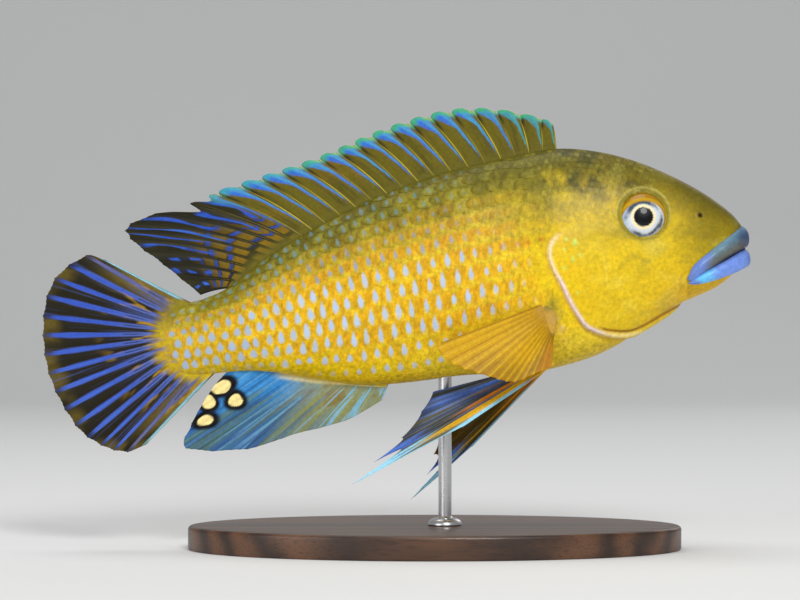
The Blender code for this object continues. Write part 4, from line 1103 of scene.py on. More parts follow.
def lip(name, upper):
    """One lip as a bow of rounded sections, coloured by its place round the bow and across the roll."""
    reach = (UPPER_LIP_FRONT if upper else LOWER_LIP_FRONT) - MOUTH_CORNER
    turn = np.radians(np.linspace(-LIP_TURN, LIP_TURN, LIP_STATIONS))
    share = np.clip(np.cos(turn), 0, 1)
    gap = MOUTH_GAP / 2 * ease(0.15, 0.75, share) - 0.08
    middle = MOUTH_LINE_CORNER + MOUTH_LINE_RISE * share
    if upper:
        low, high = middle + gap - 0.95 * ease(0.30, 0.0, share), -2.3 + 7.4 * share**0.85
    else:
        low, high = -5.5 + 2.0 * share**2.0, middle - gap
    taper = np.minimum(1.0, (0.95 if upper else 0.86) + 0.8 * share)
    taper = taper * np.sqrt(np.clip((LIP_TURN - np.abs(np.degrees(turn))) / 7, 0.02, 1))
    centre = np.stack([MOUTH_CORNER + reach * np.cos(turn), MOUTH_HALF_WIDTH * np.sin(turn)], axis=1)
    outward = np.stack([np.cos(turn) / reach, np.sin(turn) / MOUTH_HALF_WIDTH], axis=1)
    outward /= np.linalg.norm(outward, axis=1, keepdims=True)
    angle = 2 * np.pi * (np.arange(LIP_RING) + 0.5) / LIP_RING
    facing, rise = np.cos(angle), np.sin(angle)
    depth = np.where(facing > 0, LIP_THICKNESS, LIP_ROOT_DEPTH)[None, :] * taper[:, None]
    wrinkle = 1 + 0.035 * np.sin(turn * 26)[:, None] * np.clip(facing, 0, 1)[None, :]
    out = depth * np.sign(facing) * np.abs(facing) ** 0.85 * wrinkle
    across = ((low + high) / 2)[:, None] + ((high - low) / 2 * taper)[:, None] * rise
    places = [centre[:, :1] + outward[:, :1] * out, centre[:, 1:] + outward[:, 1:] * out, across]
    mesh = fish_mesh(name, np.stack(places, axis=-1).reshape(-1, 3), ring_faces(LIP_STATIONS, LIP_RING))
    front, level = np.repeat(share, LIP_RING), np.tile(rise, LIP_STATIONS)
    speck = ripple(front * 14, level * 2, 4.0, 1.0)
    if upper:
        colour = layers(
            LIP_VIOLET,
            (LIP_TURQUOISE, ease(0.25, 0.5, front + 0.1 * speck)),
            (LIP_NAVY, ease(0.62, 0.95, front + 0.08 * speck) * 0.9),
            # Bronze tone deepened into painted shade on the lower half of the upper lip, towards the slit.
            (LIP_BRONZE_SHADE, ease(0.65, -0.4, level) * ease(0.15, 0.4, front) * ease(1.0, 0.8, front) * 0.80),
            (LIP_TURQUOISE, 0.5 * ease(0.3, 0.8, level) * ease(0.3, 0.6, front)),
            # Painted shade on the upper lip's underside, where it meets the lower lip.
            (SLIT_SHADE, 0.75 * ease(-0.40, -0.95, level) * ease(0.30, 0.60, front)),
        )
    else:
        colour = layers(
            LIP_CYAN,
            (LIP_BLUE, ease(0.20, 0.55, front + 0.12 * speck)),
            (LIP_NAVY, ease(0.6, 1.0, level) * 0.35 + 0.30 * ease(0.88, 1.0, front)),
            (LIP_VIOLET, ease(0.17, 0.06, front + 0.06 * level)),
        )
    add_markings(mesh, colour)
    return mesh


lip_finish = marked_material("moist lips", 0.38, 0.25, 1100.0, 0.4, 0.16)
for label, upper in (("upper_lip", True), ("lower_lip", False)):
    show(lip(label + "_roll", upper), lip_finish, (label,))


# The back fin: eighteen stiff spines and nine soft rays, with thin skin stretched between them. The skin
# stands in a rounded lappet behind each spine, and the soft part runs out in a point over the tail.
DORSAL_ROOTS = (
    (0, 38.6, 0.0, 27.8), (4, 26.9, 0.0, 27.4), (8, 12.4, 0.0, 26.2), (12, -1.5, 0.0, 23.5),
    (16, -14.7, 0.0, 19.2), (21, -24.6, 0.0, 15.2), (26, -34.0, 0.0, 10.2),
)
DORSAL_TIPS = (
    (0, 38.8, 0.0, 33.3), (1, 36.3, 0.0, 34.9), (3, 26.9, 0.0, 38.3), (5, 17.2, 0.0, 39.6),
    (8, 3.8, 0.0, 38.0), (12, -11.9, 0.0, 34.2), (16, -29.6, 0.0, 31.4), (18, -40.5, 0.0, 29.4),
    (20, -52.6, 0.0, 27.0), (22, -53.2, 0.0, 23.8), (24, -47.1, 0.0, 17.2), (26, -40.4, 0.0, 9.7),
)
DORSAL_RAYS, SPINE_COUNT = 27, 18
DORSAL_GRID = (26 * 20, 60)
FIN_SINK, FIN_EDGE = 1.6, 0.07
RAY_STEPS, RAY_SIDES, RAY_HOLD = 30, 8, 0.7
SECOND_FORK, TIP_THINNING = 0.6, 0.36
OLIVE_SKIN = paint(0.41, 0.37, 0.05)
OLIVE_DARK = paint(0.27, 0.25, 0.06)
SPINE_YELLOW = paint(0.78, 0.70, 0.16)
BAND_BLUE = paint(0.21, 0.43, 0.80)
BAND_CYAN = paint(0.26, 0.61, 0.76)
BAND_VIOLET = paint(0.27, 0.40, 0.77)
TIP_GREEN = paint(0.26, 0.66, 0.40)
TIP_LIME = paint(0.62, 0.78, 0.32)
CELL_GOLD = paint(0.54, 0.42, 0.05)
NIGHT_SKIN = paint(0.02, 0.025, 0.02)
STREAK_BLUE = paint(0.16, 0.32, 0.72)
RAY_DARK = paint(0.10, 0.09, 0.05)


class Fin:
    """A fin's sheet: its roots and tips by ray number, and how far its rays arch and its skin sways."""

    def __init__(self, roots, tips, count, normal=(0, 1, 0), bow=0.0, sway=0.0, pleat=0.10, sink=FIN_SINK, side=1):
        self.roots, self.tips, self.count = roots, tips, count
        self.bow, self.sway, self.pleat, self.sink, self.side = bow, sway, pleat, sink, side
        self.normal = np.array(Vector(normal).normalized())

    def place(self, ray, share):
        """Points at a ray number and a share of the way out to the tips."""
        flip = np.array((1.0, self.side, 1.0))
        root, tip = smooth_rows(self.roots, ray) * flip, smooth_rows(self.tips, ray) * flip
        line = tip - root
        length = np.linalg.norm(line, axis=-1, keepdims=True)
        share = np.asarray(share, float)[..., None]
        arch = np.cross(self.normal, line) * self.bow * 4 * np.clip(share, 0, 1) * (1 - np.clip(share, 0, 1))
        point = root + line * share + arch
        wave = self.sway * np.clip(share, 0, 1) ** 2
        wave = wave + self.pleat * np.cos(2 * np.pi * ray)[..., None] * ease(0.0, 0.5, share)
        return point + self.normal * wave, length[..., 0]

    def start(self, ray):
        """The share at which a ray leaves its hold in the flesh."""
        length = self.place(ray, np.zeros(np.shape(ray)))[1]
        return -self.sink / length


def fin_skin(name, fin, margin, colours, columns, rows, thick=0.22, fall=3.0):
    """The skin of a fin as a closed thin sheet, fine enough to carry its streaks."""
    ray = np.linspace(0, fin.count - 1, columns + 1)
    out = np.linspace(0, 1, rows + 1)
    ray_grid, out_grid = np.meshgrid(ray, out, indexing="ij")
    start = fin.start(ray_grid)
    share = start + (margin(ray_grid) - start) * out_grid
    points, _ = fin.place(ray_grid, share)
    edge = np.minimum(1, (1 - out_grid) / 0.02) ** 0.5
    half = (FIN_EDGE + (thick - FIN_EDGE) * (1 - np.clip(share, 0, 1)) ** fall) * (0.35 + 0.65 * edge)
    shift = fin.normal * half[..., None]
    upper, under = points + shift, points - shift
    wide = rows + 1
    column, row = np.meshgrid(np.arange(columns), np.arange(rows), indexing="ij")
    here = (column * wide + row).ravel()
    top = np.stack([here, here + wide, here + wide + 1, here + 1], axis=1)
    other = (columns + 1) * wide
    bottom = top[:, ::-1] + other
    rim = [column * wide for column in range(columns + 1)]
    rim += [columns * wide + row for row in range(1, rows + 1)]
    rim += [column * wide + rows for column in range(columns - 1, -1, -1)]
    rim += range(rows - 1, 0, -1)
    rim = np.array(rim)
    after = np.roll(rim, -1)
    walls = np.stack([rim, rim + other, after + other, after], axis=1)
    faces = np.concatenate([top, bottom, walls])
    points = np.concatenate([upper.reshape(-1, 3), under.reshape(-1, 3)])
    mesh = fish_mesh(name, points, faces.tolist())
    turn_outward(mesh)
    colour = colours(ray_grid, share, np.clip(share, 0, 1) / margin(ray_grid), upper).reshape(-1, 3)
    add_markings(mesh, np.concatenate([colour, colour]))
    return mesh


def tube_tree():
    """Geometry nodes: swells lines into round rods as thick as their marks say, and gives them a finish."""
    inputs = (("Sides", "NodeSocketInt", RAY_SIDES), ("Finish", "NodeSocketMaterial", None))
    tree, entry = group_tree("swell rays", inputs)
    line = add_node(tree, "GeometryNodeMeshToCurve", {"Mesh": entry["Geometry"]})
    ring = add_node(tree, "GeometryNodeCurvePrimitiveCircle", {"Radius": 1.0, "Resolution": entry["Sides"]})
    sockets = {
        "Curve": line.outputs["Curve"],
        "Profile Curve": ring.outputs["Curve"],
        "Scale": named(tree, "thickness"),
        "Fill Caps": True,
    }
    rod = add_node(tree, "GeometryNodeCurveToMesh", sockets)
    real = add_node(tree, "GeometryNodeRealizeInstances", {"Geometry": rod.outputs["Mesh"]})
    smooth = add_node(tree, "GeometryNodeSetShadeSmooth", {"Geometry": real.outputs["Geometry"]})
    dress_and_leave(tree, smooth.outputs["Geometry"], entry["Finish"])
    return tree


swell_rays = tube_tree()
membrane = marked_material("taut fin skin", 0.46, 0.05, 1300.0, 0.3, 0.14)
ray_finish = marked_material("horny fin rays", 0.36, 0.15, 1500.0, 0.2, 0.10)


def fin_rays(name, fin, margin, lines, colours):
    """The rays of a fin. Each line is its ray number, its two forks, its reach and its thickness."""
    points, edges, thickness, marks = [], [], [], []
    for ray, (spread, fork), (fine_spread, fine_fork), reach, (thick, fine) in lines:
        first = len(points)
        share = np.linspace(0, 1, RAY_STEPS + 1)
        start = float(fin.start(np.array([float(ray)]))[0])
        end = np.array([np.clip(ray + spread + fine_spread, 0, fin.count - 1)])
        out = start * RAY_HOLD + (reach * float(margin(end)[0]) - start * RAY_HOLD) * share
        wander = ray + spread * ease(fork, 1.0, out) + fine_spread * ease(fine_fork, 1.0, out)
        place, _ = fin.place(np.clip(wander, 0, fin.count - 1), out)
        points += [tuple(point) for point in place]
        edges += [(first + k, first + k + 1) for k in range(RAY_STEPS)]
        radius = thick + (fine - thick) * share**0.8
        thickness += list(radius * MM)
        marks += [(ray, value, value) for value in out]
    home = pitch_matrix()
    world = [tuple(home @ (Vector(point) * MM)) for point in points]
    attributes = [("thickness", "FLOAT", thickness), ("ray_mark", "FLOAT_VECTOR", marks)]
    mesh = grown(name, world, edges, attributes, swell_rays, {"Finish": ray_finish})
    flat = np.empty(len(mesh.vertices) * 3, np.float32)
    mesh.attributes["ray_mark"].data.foreach_get("vector", flat)
    mark = flat.reshape(-1, 3)
    add_markings(mesh, colours(mark[:, 0], mark[:, 1]))
    return mesh


def soft_ray_lines(first, last, reach, thick, fork=0.35, spread=0.17):
    """Soft rays part in two and then in four on their way out."""
    lines = []
    for ray in range(first, last + 1):
        for half in (-1, 1):
            for quarter in (-1, 1):
                forks = (spread * half, fork), (spread * 0.5 * quarter, SECOND_FORK)
                lines.append((ray, *forks, reach, (thick, thick * TIP_THINNING)))
    return lines


def spine_lines(rays, reach, thickness):
    """Spines and other rays that run out unparted, with their thickness at root and tip."""
    return [(ray, (0, 0.5), (0, 0.5), reach, thickness) for ray in rays]


def dorsal_margin(ray):
    """How far out the skin reaches: in a lappet behind each spine, and slit where the soft part starts."""
    part = ray - np.floor(ray)
    rear = np.clip((part - 0.42) / 0.53, 0, 1)
    spiny = 0.935 + 0.065 * ease(0.0, 0.36, part) - 0.13 * (1 - np.sqrt(1 - rear**2)) + 0.065 * ease(0.95, 1.0, part)
    soft = 1 - 0.018 * np.sin(np.pi * part) - 0.006 * np.abs(np.sin(4 * np.pi * part))
    soft = soft - 0.20 * hump(ray, 18.4, 0.33) - 0.10 * hump(ray, 17.5, 0.25)
    share = ease(16.9, 17.1, ray)
    return spiny * (1 - share) + soft * share


def lanes(ray, out, seed, fine=8.0):
    """Streaks that run out along the rays, from -1 to 1, the same each run."""
    return ripple(ray * fine, out * 1.6, seed, 1.0)


def spiny_colours(ray, out):
    """Olive skin with a blue band behind each spine, which widens into the lappet and turns green on its edge."""
    part = ray - np.floor(ray)
    lane, cloud = lanes(ray, out, 7.0), ripple(ray * 3.1, out * 7, 6.0, 2.2)
    middle = 0.10 + 0.10 * ease(0.15, 0.55, out) + 0.26 * ease(0.60, 0.95, out)
    width = 0.04 + 0.04 * ease(0.15, 0.55, out) + 0.24 * ease(0.60, 0.95, out)
    band = ease(1.25, 0.65, np.abs(part - middle) / width + 0.25 * lane) * ease(0.06, 0.30, out)
    shine = np.clip(ease(0.1, 0.7, lane) + ease(0.05, -0.25, (part - middle) / width), 0, 1)
    green = 1 - 0.65 * ease(11.0, 15.5, ray)
    return layers(
        OLIVE_SKIN,
        (OLIVE_DARK, 0.55 * ease(-0.3, 0.8, lane) + 0.2 * cloud),
        (CELL_GOLD, 0.40 * ease(0.2, 0.8, cloud) * ease(0.15, 0.35, out)),
        (NIGHT_SKIN, 0.75 * ease(0.74, 0.90, part) * ease(0.62, 0.85, out)),
        (BAND_BLUE, band * (0.55 + 0.45 * ease(1.0, 4.0, ray))),
        (BAND_CYAN, band * 0.75 * shine),
        (TIP_GREEN, band * ease(5.0, 1.5, ray) * 0.55),
        (BAND_CYAN, ease(0.86, 0.95, out + 0.03 * lane) * ease(0.86, 0.74, part) * 0.8),
        (BAND_VIOLET, band * 0.6 * ease(0.2, 0.7, -lane) * ease(0.92, 0.80, out)),
        (TIP_GREEN, ease(0.90, 0.965, out + 0.04 * lane) * 0.85 * green),
        (TIP_LIME, ease(0.90, 0.99, out) * ease(0.30, 0.05, part) * 0.6 * green),
    )


def soft_colours(ray, out):
    """Near-black skin with blue streaks between the rays, and olive cells parted by blue bars near the base."""
    space = np.floor(ray)
    part = ray - space
    lane, cloud = lanes(ray, out, 8.0), ripple(ray * 3.1, out * 7, 9.0, 2.2)
    open_part = ease(0.10, 0.24, 0.5 - np.abs(part - 0.5))
    near = ease(0.66, 0.34, out + 0.05 * cloud)
    turn = 2 * np.pi * (out * 6.2 + 0.23 * space)
    cells = near * open_part * ease(-0.75, -0.2, np.cos(turn))
    bars = ease(0.72, 0.95, -np.cos(turn)) * ease(0.12, 0.24, out) * near * open_part
    wander = 0.5 + 0.10 * np.sin(out * 11 + space * 2.4) + 0.08 * lane
    width = 0.11 + 0.035 * np.sin(out * 15 + space * 3.7)
    streak = ease(1.3, 0.6, np.abs(part - wander) / width) * ease(0.36, 0.46, out + 0.07 * np.sin(space * 2.9))
    broken = ease(-0.1, 0.3, np.cos(2 * np.pi * (out * 4.3 + 0.37 * space)))
    streak = streak * (1 - ease(21.8, 23.2, ray) * (1 - broken) * 0.95) * (1 - 0.6 * ease(0.90, 1.0, out))
    return layers(
        NIGHT_SKIN,
        (OLIVE_DARK, 0.35 + 0.35 * cloud),
        (CELL_GOLD, cells * (0.9 - 0.45 * ease(0.12, 0.45, out))),
        (STREAK_BLUE, 0.70 * bars),
        (STREAK_BLUE, streak),
        (BAND_BLUE, streak * 0.8 * ease(0.0, 0.6, lane)),
        (RAY_DARK, hump(np.minimum(part, 1 - part), 0.0, 0.10) * 0.7),
    )


def dorsal_colours(ray, share, out, _point):
    """The back fin's skin, spiny in front and soft behind, olive like the back at its root."""
    return layers(
        spiny_colours(ray, out),
        (soft_colours(ray, out), ease(16.95, 17.6, ray + 0.4 * (0.6 - out))),
        (BACK_OLIVE, ease(0.14, 0.0, share)),
    )


def dorsal_ray_colours(ray, share):
    """Yellow spines that turn olive on their way out, and dark soft rays."""
    return layers(
        SPINE_YELLOW,
        (TIP_GREEN, ease(0.75, 1.0, share) * 0.5),
        (OLIVE_SKIN, 0.42 + 0.34 * np.sin(ray * 2.7) + 0.6 * ease(0.45, 0.8, share)),
        (RAY_DARK, ease(17.2, 18.2, ray) * (0.45 + 0.5 * ease(0.1, 0.4, share))),
    )


def show_fin(label, fin, margin, colours, grid, lines, nodes, slot, **sheet):
    """Shows a fin's skin and its rays, each with its own colours."""
    skin_colours, ray_colours = colours
    show(fin_skin(label + "_skin", fin, margin, skin_colours, *grid, **sheet), membrane, nodes)
    show(fin_rays(label + "_rays", fin, margin, lines, ray_colours), ray_finish, ())


show_fin(
    "dorsal_fin",
    Fin(DORSAL_ROOTS, DORSAL_TIPS, DORSAL_RAYS, bow=0.04),
    dorsal_margin,
    (dorsal_colours, dorsal_ray_colours),
    DORSAL_GRID,
    spine_lines(range(SPINE_COUNT), 1.0, (0.27, 0.07))
    + soft_ray_lines(SPINE_COUNT, DORSAL_RAYS - 1, 0.985, 0.22, spread=0.12),
    ("dorsal_fin_spiny", "dorsal_fin_soft"),
    "dorsal_fin",
)


# The tail fin: a round-ended fan of soft rays rooted in the stalk, dark between the rays, with a pale blue
# streak along each one and a thin bright upper and lower edge.
CAUDAL_ROOTS = (
    (0, -42.8, 0.0, 8.3), (2, -46.6, 0.0, 6.2), (8, -49.4, 0.0, 1.0), (14, -45.4, 0.0, -5.6),
    (16, -40.6, 0.0, -7.2),
)
CAUDAL_TIPS = (
    (0, -59.6, 0.0, 20.6), (1, -62.9, 0.0, 22.0), (3, -70.3, 0.0, 18.3), (5, -74.1, 0.0, 10.8),
    (8, -75.0, 0.0, -1.4), (11, -71.2, 0.0, -13.2), (13, -66.5, 0.0, -18.3), (15, -61.2, 0.0, -20.6),
    (16, -57.4, 0.0, -19.8),
)
CAUDAL_RAYS = 17
CAUDAL_GRID = (16 * 20, 90)
EDGE_CYAN = paint(0.62, 0.86, 0.90)
MARGIN_OLIVE = paint(0.52, 0.44, 0.12)
TAIL_BLUE = paint(0.21, 0.35, 0.77)
TAIL_PALE = paint(0.38, 0.53, 0.88)


def scalloped(ray):
    """How far out the skin reaches, drawn in a little between the rays."""
    part = ray - np.floor(ray)
    return 1 - 0.013 * np.sin(np.pi * part) - 0.004 * np.abs(np.sin(4 * np.pi * part))


def caudal_colours(ray, share, out, point):
    """Near-black skin with a pale streak over each ray, gold flecks at the root and a bright edge."""
    part = np.abs(ray - np.round(ray))
    lane, cloud = lanes(ray, out, 8.5, 9.0), ripple(ray * 4, out * 6, 9.0, 2.0)
    edge = np.clip(ease(2.6, 0.6, ray) + ease(13.2, 15.4, ray), 0, 1)
    patchy = ease(-0.5, 0.4, ripple(ray * 5, out * 9, 22.0, 2.0))
    width = 0.10 + 0.115 * ease(0.58, 0.12, out) - 0.10 * ease(0.74, 0.97, out)
    streak = ease(width + 0.12, width - 0.02, part + 0.05 * lane) * ease(0.05, 0.16, out + 0.03 * cloud)
    streak = streak * (1 - 0.95 * ease(0.90, 0.97, out + 0.04 * cloud)) * (1 - 0.45 * edge)
    flecks = ease(0.25, 0.65, ripple(ray * 6.5, out * 13, 10.0, 1.8)) * ease(0.62, 0.30, out) * (1 - 0.6 * streak)
    base = ease(0.17, 0.03, share + 0.05 * lane + 0.03 * cloud)
    return layers(
        NIGHT_SKIN,
        (MARGIN_OLIVE, 0.05 + 0.65 * edge * ease(0.95, 0.5, out)),
        (TAIL_DUSK, 0.55 * ease(-0.1, 0.7, lane) * ease(0.6, 0.15, out)),
        (MARGIN_OLIVE, 0.42 * ease(0.84, 0.96, out + 0.05 * cloud) * patchy),
        (TAIL_DUSK, 0.30 * ease(0.2, 0.8, lanes(ray, out, 20.0, 13.0)) * ease(0.4, 0.7, out)),
        (TAIL_DUSK, streak),
        (TAIL_BLUE, streak * ease(0.22, 0.52, out) * (0.85 + 0.3 * lane)),
        (BASE_GOLD, 0.80 * flecks),
        (EDGE_CYAN, ease(0.26, 0.10, ray) * 0.9 + ease(15.70, 15.88, ray) * 0.7),
        (hide_colours(point[..., 0], point[..., 2]), base),
    )


def caudal_ray_colours(ray, share):
    """Rays that turn from dusky to clear blue, olive at both edges and dark at their tips."""
    return layers(
        TAIL_DUSK,
        (TAIL_BLUE, ease(0.22, 0.5, share)),
        (TAIL_PALE, 0.35 * ease(0.4, 0.6, share) * ease(5.0, 9.0, ray)),
        (MARGIN_OLIVE, 0.75 * np.clip(ease(14.0, 15.5, ray) + ease(1.6, 0.6, ray), 0, 1)),
        (EDGE_CYAN, ease(0.4, 0.1, ray) + ease(15.6, 15.9, ray)),
        (NIGHT_SKIN, 0.7 * ease(0.88, 0.97, share)),
        (BASE_GOLD, ease(0.14, 0.04, share)),
    )


show_fin(
    "caudal_fin",
    Fin(CAUDAL_ROOTS, CAUDAL_TIPS, CAUDAL_RAYS, sway=1.2),
    scalloped,
    (caudal_colours, caudal_ray_colours),
    CAUDAL_GRID,
    soft_ray_lines(0, CAUDAL_RAYS - 1, 0.985, 0.26, spread=0.07),
    ("caudal_fin",),
    "dark_fins",
    thick=0.6,
    fall=8.0,
)


# The anal fin: three spines and nine soft rays behind the vent. It is bright blue, streaked yellow in
# front, and its rear lobe carries four cream egg spots ringed with black.
ANAL_ROOTS = ((0, -4.8, 0.0, -15.8), (3, -13.1, 0.0, -13.2), (7, -26.0, 0.0, -9.4), (11, -37.6, 0.0, -7.3))
ANAL_TIPS = (
    (0, -6.4, 0.0, -18.6), (0.7, -11.1, 0.0, -20.5), (1.3, -15.2, 0.0, -21.7), (2.7, -25.9, 0.0, -22.7),
    (4, -36.0, 0.0, -24.1), (6, -48.8, 0.0, -21.8), (7.7, -47.2, 0.0, -17.5), (9.6, -43.9, 0.0, -13.2),
    (11, -40.6, 0.0, -9.6),
)
ANAL_RAYS = 12
ANAL_GRID = (11 * 28, 72)
EGG_SPOTS = (
    ((-39.2, -10.3), 2.25, 1.30, 0.25), ((-42.4, -12.9), 1.40, 1.50, 0.0),
    ((-36.7, -13.5), 1.50, 1.30, 0.1), ((-43.7, -16.6), 1.70, 1.05, 0.1),
)
ANAL_BLUE = paint(0.22, 0.55, 0.82)
ANAL_DEEP = paint(0.09, 0.19, 0.42)
ANAL_TEAL = paint(0.33, 0.45, 0.40)
ANAL_YELLOW = paint(0.60, 0.60, 0.30)
ANAL_LIGHT = paint(0.50, 0.76, 0.90)
EGG_CREAM = paint(1.0, 0.92, 0.62)
EGG_BLACK = paint(0.02, 0.02, 0.05)


def anal_colours(ray, share, out, point):
    """Blue skin streaked with deep blue, teal and yellow, with the egg spots laid over it."""
    lane, other = lanes(ray, out, 11.0), lanes(ray, out, 19.0, 6.5)
    reach = ray - 2.2 * (1 - out) ** 2 + 0.7 * out
    front, rear = ease(5.0, 1.9, reach + 0.9 * other), ease(6.0, 7.2, ray + 0.3 * lane)
    middle = ease(1.5, 3.0, ray) * ease(7.6, 6.6, ray)
    thread = lanes(ray, out, 21.0, 15.0)
    blots = ease(0.25, 0.7, ripple(ray * 2.4, out * 5, 5.0, 1.4)) * ease(0.75, 0.5, out)
    line = hump(share, 0.055, 0.022) * ease(7.5, 6.0, ray)
    along, height = point[..., 0], point[..., 2]
    colour = layers(
        ANAL_BLUE,
        (ANAL_DEEP, (0.60 + 0.40 * lane) * ease(0.16, 0.50, out) * (1 - rear)),
        (ANAL_DEEP, 0.45 * ease(0.1, 0.8, lane) + 0.35 * rear * ease(0.55, 0.9, out)),
        (STREAK_BLUE, 0.70 * ease(-0.2, 0.6, other) * ease(0.55, 0.85, out) * ease(3.0, 4.5, ray)),
        (ANAL_TEAL, 0.35 * middle * ease(0.2, 0.5, out)),
        (ANAL_TEAL, 0.85 * ease(-0.05, 0.5, -other) * middle * ease(0.1, 0.35, out)),
        (ANAL_DEEP, 0.65 * ease(0.15, 0.7, thread) * (1 - rear) * ease(0.05, 0.2, out)),
        (ANAL_LIGHT, 0.45 * ease(0.25, 0.8, -thread) * (1 - 0.6 * rear)),
        (ANAL_YELLOW, front * (0.85 + 0.2 * lane)),
        (CELL_GOLD, 0.65 * blots * ease(6.5, 4.5, ray)),
        (ANAL_LIGHT, 0.80 * ease(0.15, 0.60, lane) * ease(6.5, 3.5, ray) * ease(0.05, 0.2, out)),
        (ANAL_LIGHT, 0.40 * rear * ease(0.0, 0.7, other) * ease(0.7, 0.4, out)),
        (EGG_CREAM, 0.65 * line),
        (FLANK_YELLOW, 0.85 * ease(0.06, 0.01, share) * ease(8.0, 6.0, ray)),
    )
    for (egg_along, egg_height), long, high, turn in EGG_SPOTS:
        x, y = along - egg_along, height - egg_height
        x, y = x * math.cos(turn) + y * math.sin(turn), -x * math.sin(turn) + y * math.cos(turn)
        reach = np.hypot(x / long, y / high) * (1 + 0.06 * np.sin(3 * np.arctan2(y, x) + turn * 9))
        colour = layers(
            colour,
            (EGG_BLACK, ease(1.0 + 1.35 / high, 1.0 + 0.55 / high, reach)),
            (EGG_CREAM, ease(1.06, 0.92, reach)),
        )
    return colour


def anal_ray_colours(ray, share):
    """Light blue rays, deeper blue towards the rear and the tips."""
    return layers(
        ANAL_LIGHT,
        (ANAL_BLUE, ease(2.0, 5.0, ray)),
        (ANAL_DEEP, 0.6 * ease(0.3, 0.7, share) * ease(3, 5, ray)),
    )


show_fin(
    "anal_fin",
    Fin(ANAL_ROOTS, ANAL_TIPS, ANAL_RAYS),
    scalloped,
    (anal_colours, anal_ray_colours),
    ANAL_GRID,
    spine_lines(range(3), 0.98, (0.28, 0.10)) + soft_ray_lines(3, 7, 0.98, 0.13),
    ("anal_fin",),
    "anal_fin",
)


# The belly fins: a spine and five soft rays each, the first two drawn out in long filaments. Each has a
# pale blue leading edge and an orange band behind it.
PELVIC_ROOTS = ((0, 29.8, 3.4, -17.2), (5, 25.0, 2.6, -16.8))
PELVIC_TIPS = {
    -1: (
        (0, 9.4, 9.6, -26.4), (1, -15.2, 14.5, -34.2), (2, -9.9, 12.5, -30.5), (3, -3.5, 10.0, -26.6),
        (4, 1.5, 7.6, -22.0), (5, 4.6, 5.4, -18.4),
    ),
    1: (
        (0, 11.1, 13.0, -32.0), (1, -4.0, 20.0, -41.7), (2, 0.4, 18.0, -36.8), (3, 2.6, 15.6, -32.6),
        (4, 4.2, 12.8, -28.4), (5, 7.2, 9.6, -24.0),
    ),
}
PELVIC_RAYS = 6
PELVIC_HINGE = (3.2, -17.1)
PELVIC_GRID = (5 * 36, 90)
PELVIC_EDGE = paint(0.62, 0.88, 0.98)
PELVIC_ORANGE = paint(0.84, 0.50, 0.08)
PELVIC_YELLOW = paint(0.90, 0.70, 0.07)
PELVIC_BLUE = paint(0.33, 0.52, 0.93)
PELVIC_NAVY = paint(0.24, 0.26, 0.26)
PELVIC_SHADE = paint(0.13, 0.14, 0.13)
PELVIC_GREY = paint(0.52, 0.58, 0.72)
PELVIC_BROWN = paint(0.38, 0.30, 0.07)


def pelvic_margin(ray):
    """How far out the skin reaches, cut in deepest behind the long filament."""
    space = np.clip(np.floor(ray), 0, 4).astype(int)
    part = ray - space
    fall = np.array((0.04, 0.24, 0.07, 0.03, 0.02))[space]
    return 1 - fall * np.clip(np.sin(np.pi * np.clip(part, 0, 1)), 0, 1) ** 0.7


def pelvic_edge(ray, out):
    """How far a place belongs to the bright leading edge or to the filament it ends in."""
    front = ease(0.30, 0.10, ray) * ease(0.08, 0.25, out)
    slant = ease(0.94, 0.98, out) * ease(1.2, 1.0, ray)
    thread = ease(0.62, 0.80, out) * ease(0.42, 0.22, np.abs(ray - 1))
    return np.maximum(np.maximum(front, slant), thread)


def near_pelvic_colours(ray, share, out, _point):
    """The fin on the fish's right: a yellow band behind the bright edge, then orange and blue streaks."""
    lane, other = lanes(ray, out, 12.0, 9.0), lanes(ray, out, 15.0, 5.0)
    return layers(
        PELVIC_NAVY,
        (PELVIC_GREY, 0.65 * ease(-0.1, 0.6, lane)),
        (PELVIC_BLUE, ease(2.8, 4.3, ray) * ease(0.10, 0.35, out) * ease(-0.5, 0.5, other) * 0.95),
        (BAND_BLUE, 0.65 * ease(3.0, 4.2, ray) * ease(0.30, 0.6, out) * ease(0.0, 0.6, lane)),
        (PELVIC_BLUE, 0.8 * ease(0.72, 0.86, out) * ease(0.6, 0.3, np.abs(ray - 2))),
        (OLIVE_SKIN, 0.70 * ease(0.15, 0.55, ripple(ray * 7, out * 1.6, 24.0, 1.0)) * ease(1.2, 1.8, ray)),
        (PELVIC_SHADE, 0.40 * ease(-0.1, 0.6, -lane) * ease(0.3, 0.6, out) * ease(1.2, 1.8, ray)),
        (PELVIC_SHADE, 0.60 * ease(0.82, 0.99, out + 0.06 * other) * ease(2.1, 2.6, ray)),
        (PELVIC_ORANGE, 0.9 * ease(0.05, 0.45, -other) * ease(0.66, 0.36, out) * ease(4.4, 3.2, ray)),
        (OLIVE_SKIN, 0.7 * ease(1.8, 1.1, ray) * ease(0.5, 0.7, out)),
        (PELVIC_YELLOW, ease(1.35, 0.85, ray + 0.25 * out) * ease(0.85, 0.60, out) * (0.9 + 0.2 * lane)),
        (PELVIC_EDGE, pelvic_edge(ray, out)),
        (PELVIC_YELLOW, ease(0.20, 0.06, share) * 0.95),
    )


def far_pelvic_colours(ray, share, out, _point):
    """The fin on the left, which is dark amber with a blue edge on its outer half."""
    lane = lanes(ray, out, 13.0, 9.0)
    return layers(
        PELVIC_BROWN,
        (NIGHT_SKIN, 0.45 * ease(-0.2, 0.7, lane)),
        (PELVIC_ORANGE, 0.45 * ease(0.55, 0.25, out) * ease(2.5, 1.0, ray)),
        (PELVIC_BLUE, 0.8 * ease(0.75, 0.92, out) * ease(2.5, 2.0, ray)),
        (PELVIC_EDGE, 0.9 * pelvic_edge(ray, out) * ease(0.45, 0.62, out)),
        (PELVIC_ORANGE, ease(0.20, 0.05, share) * 0.6),
    )


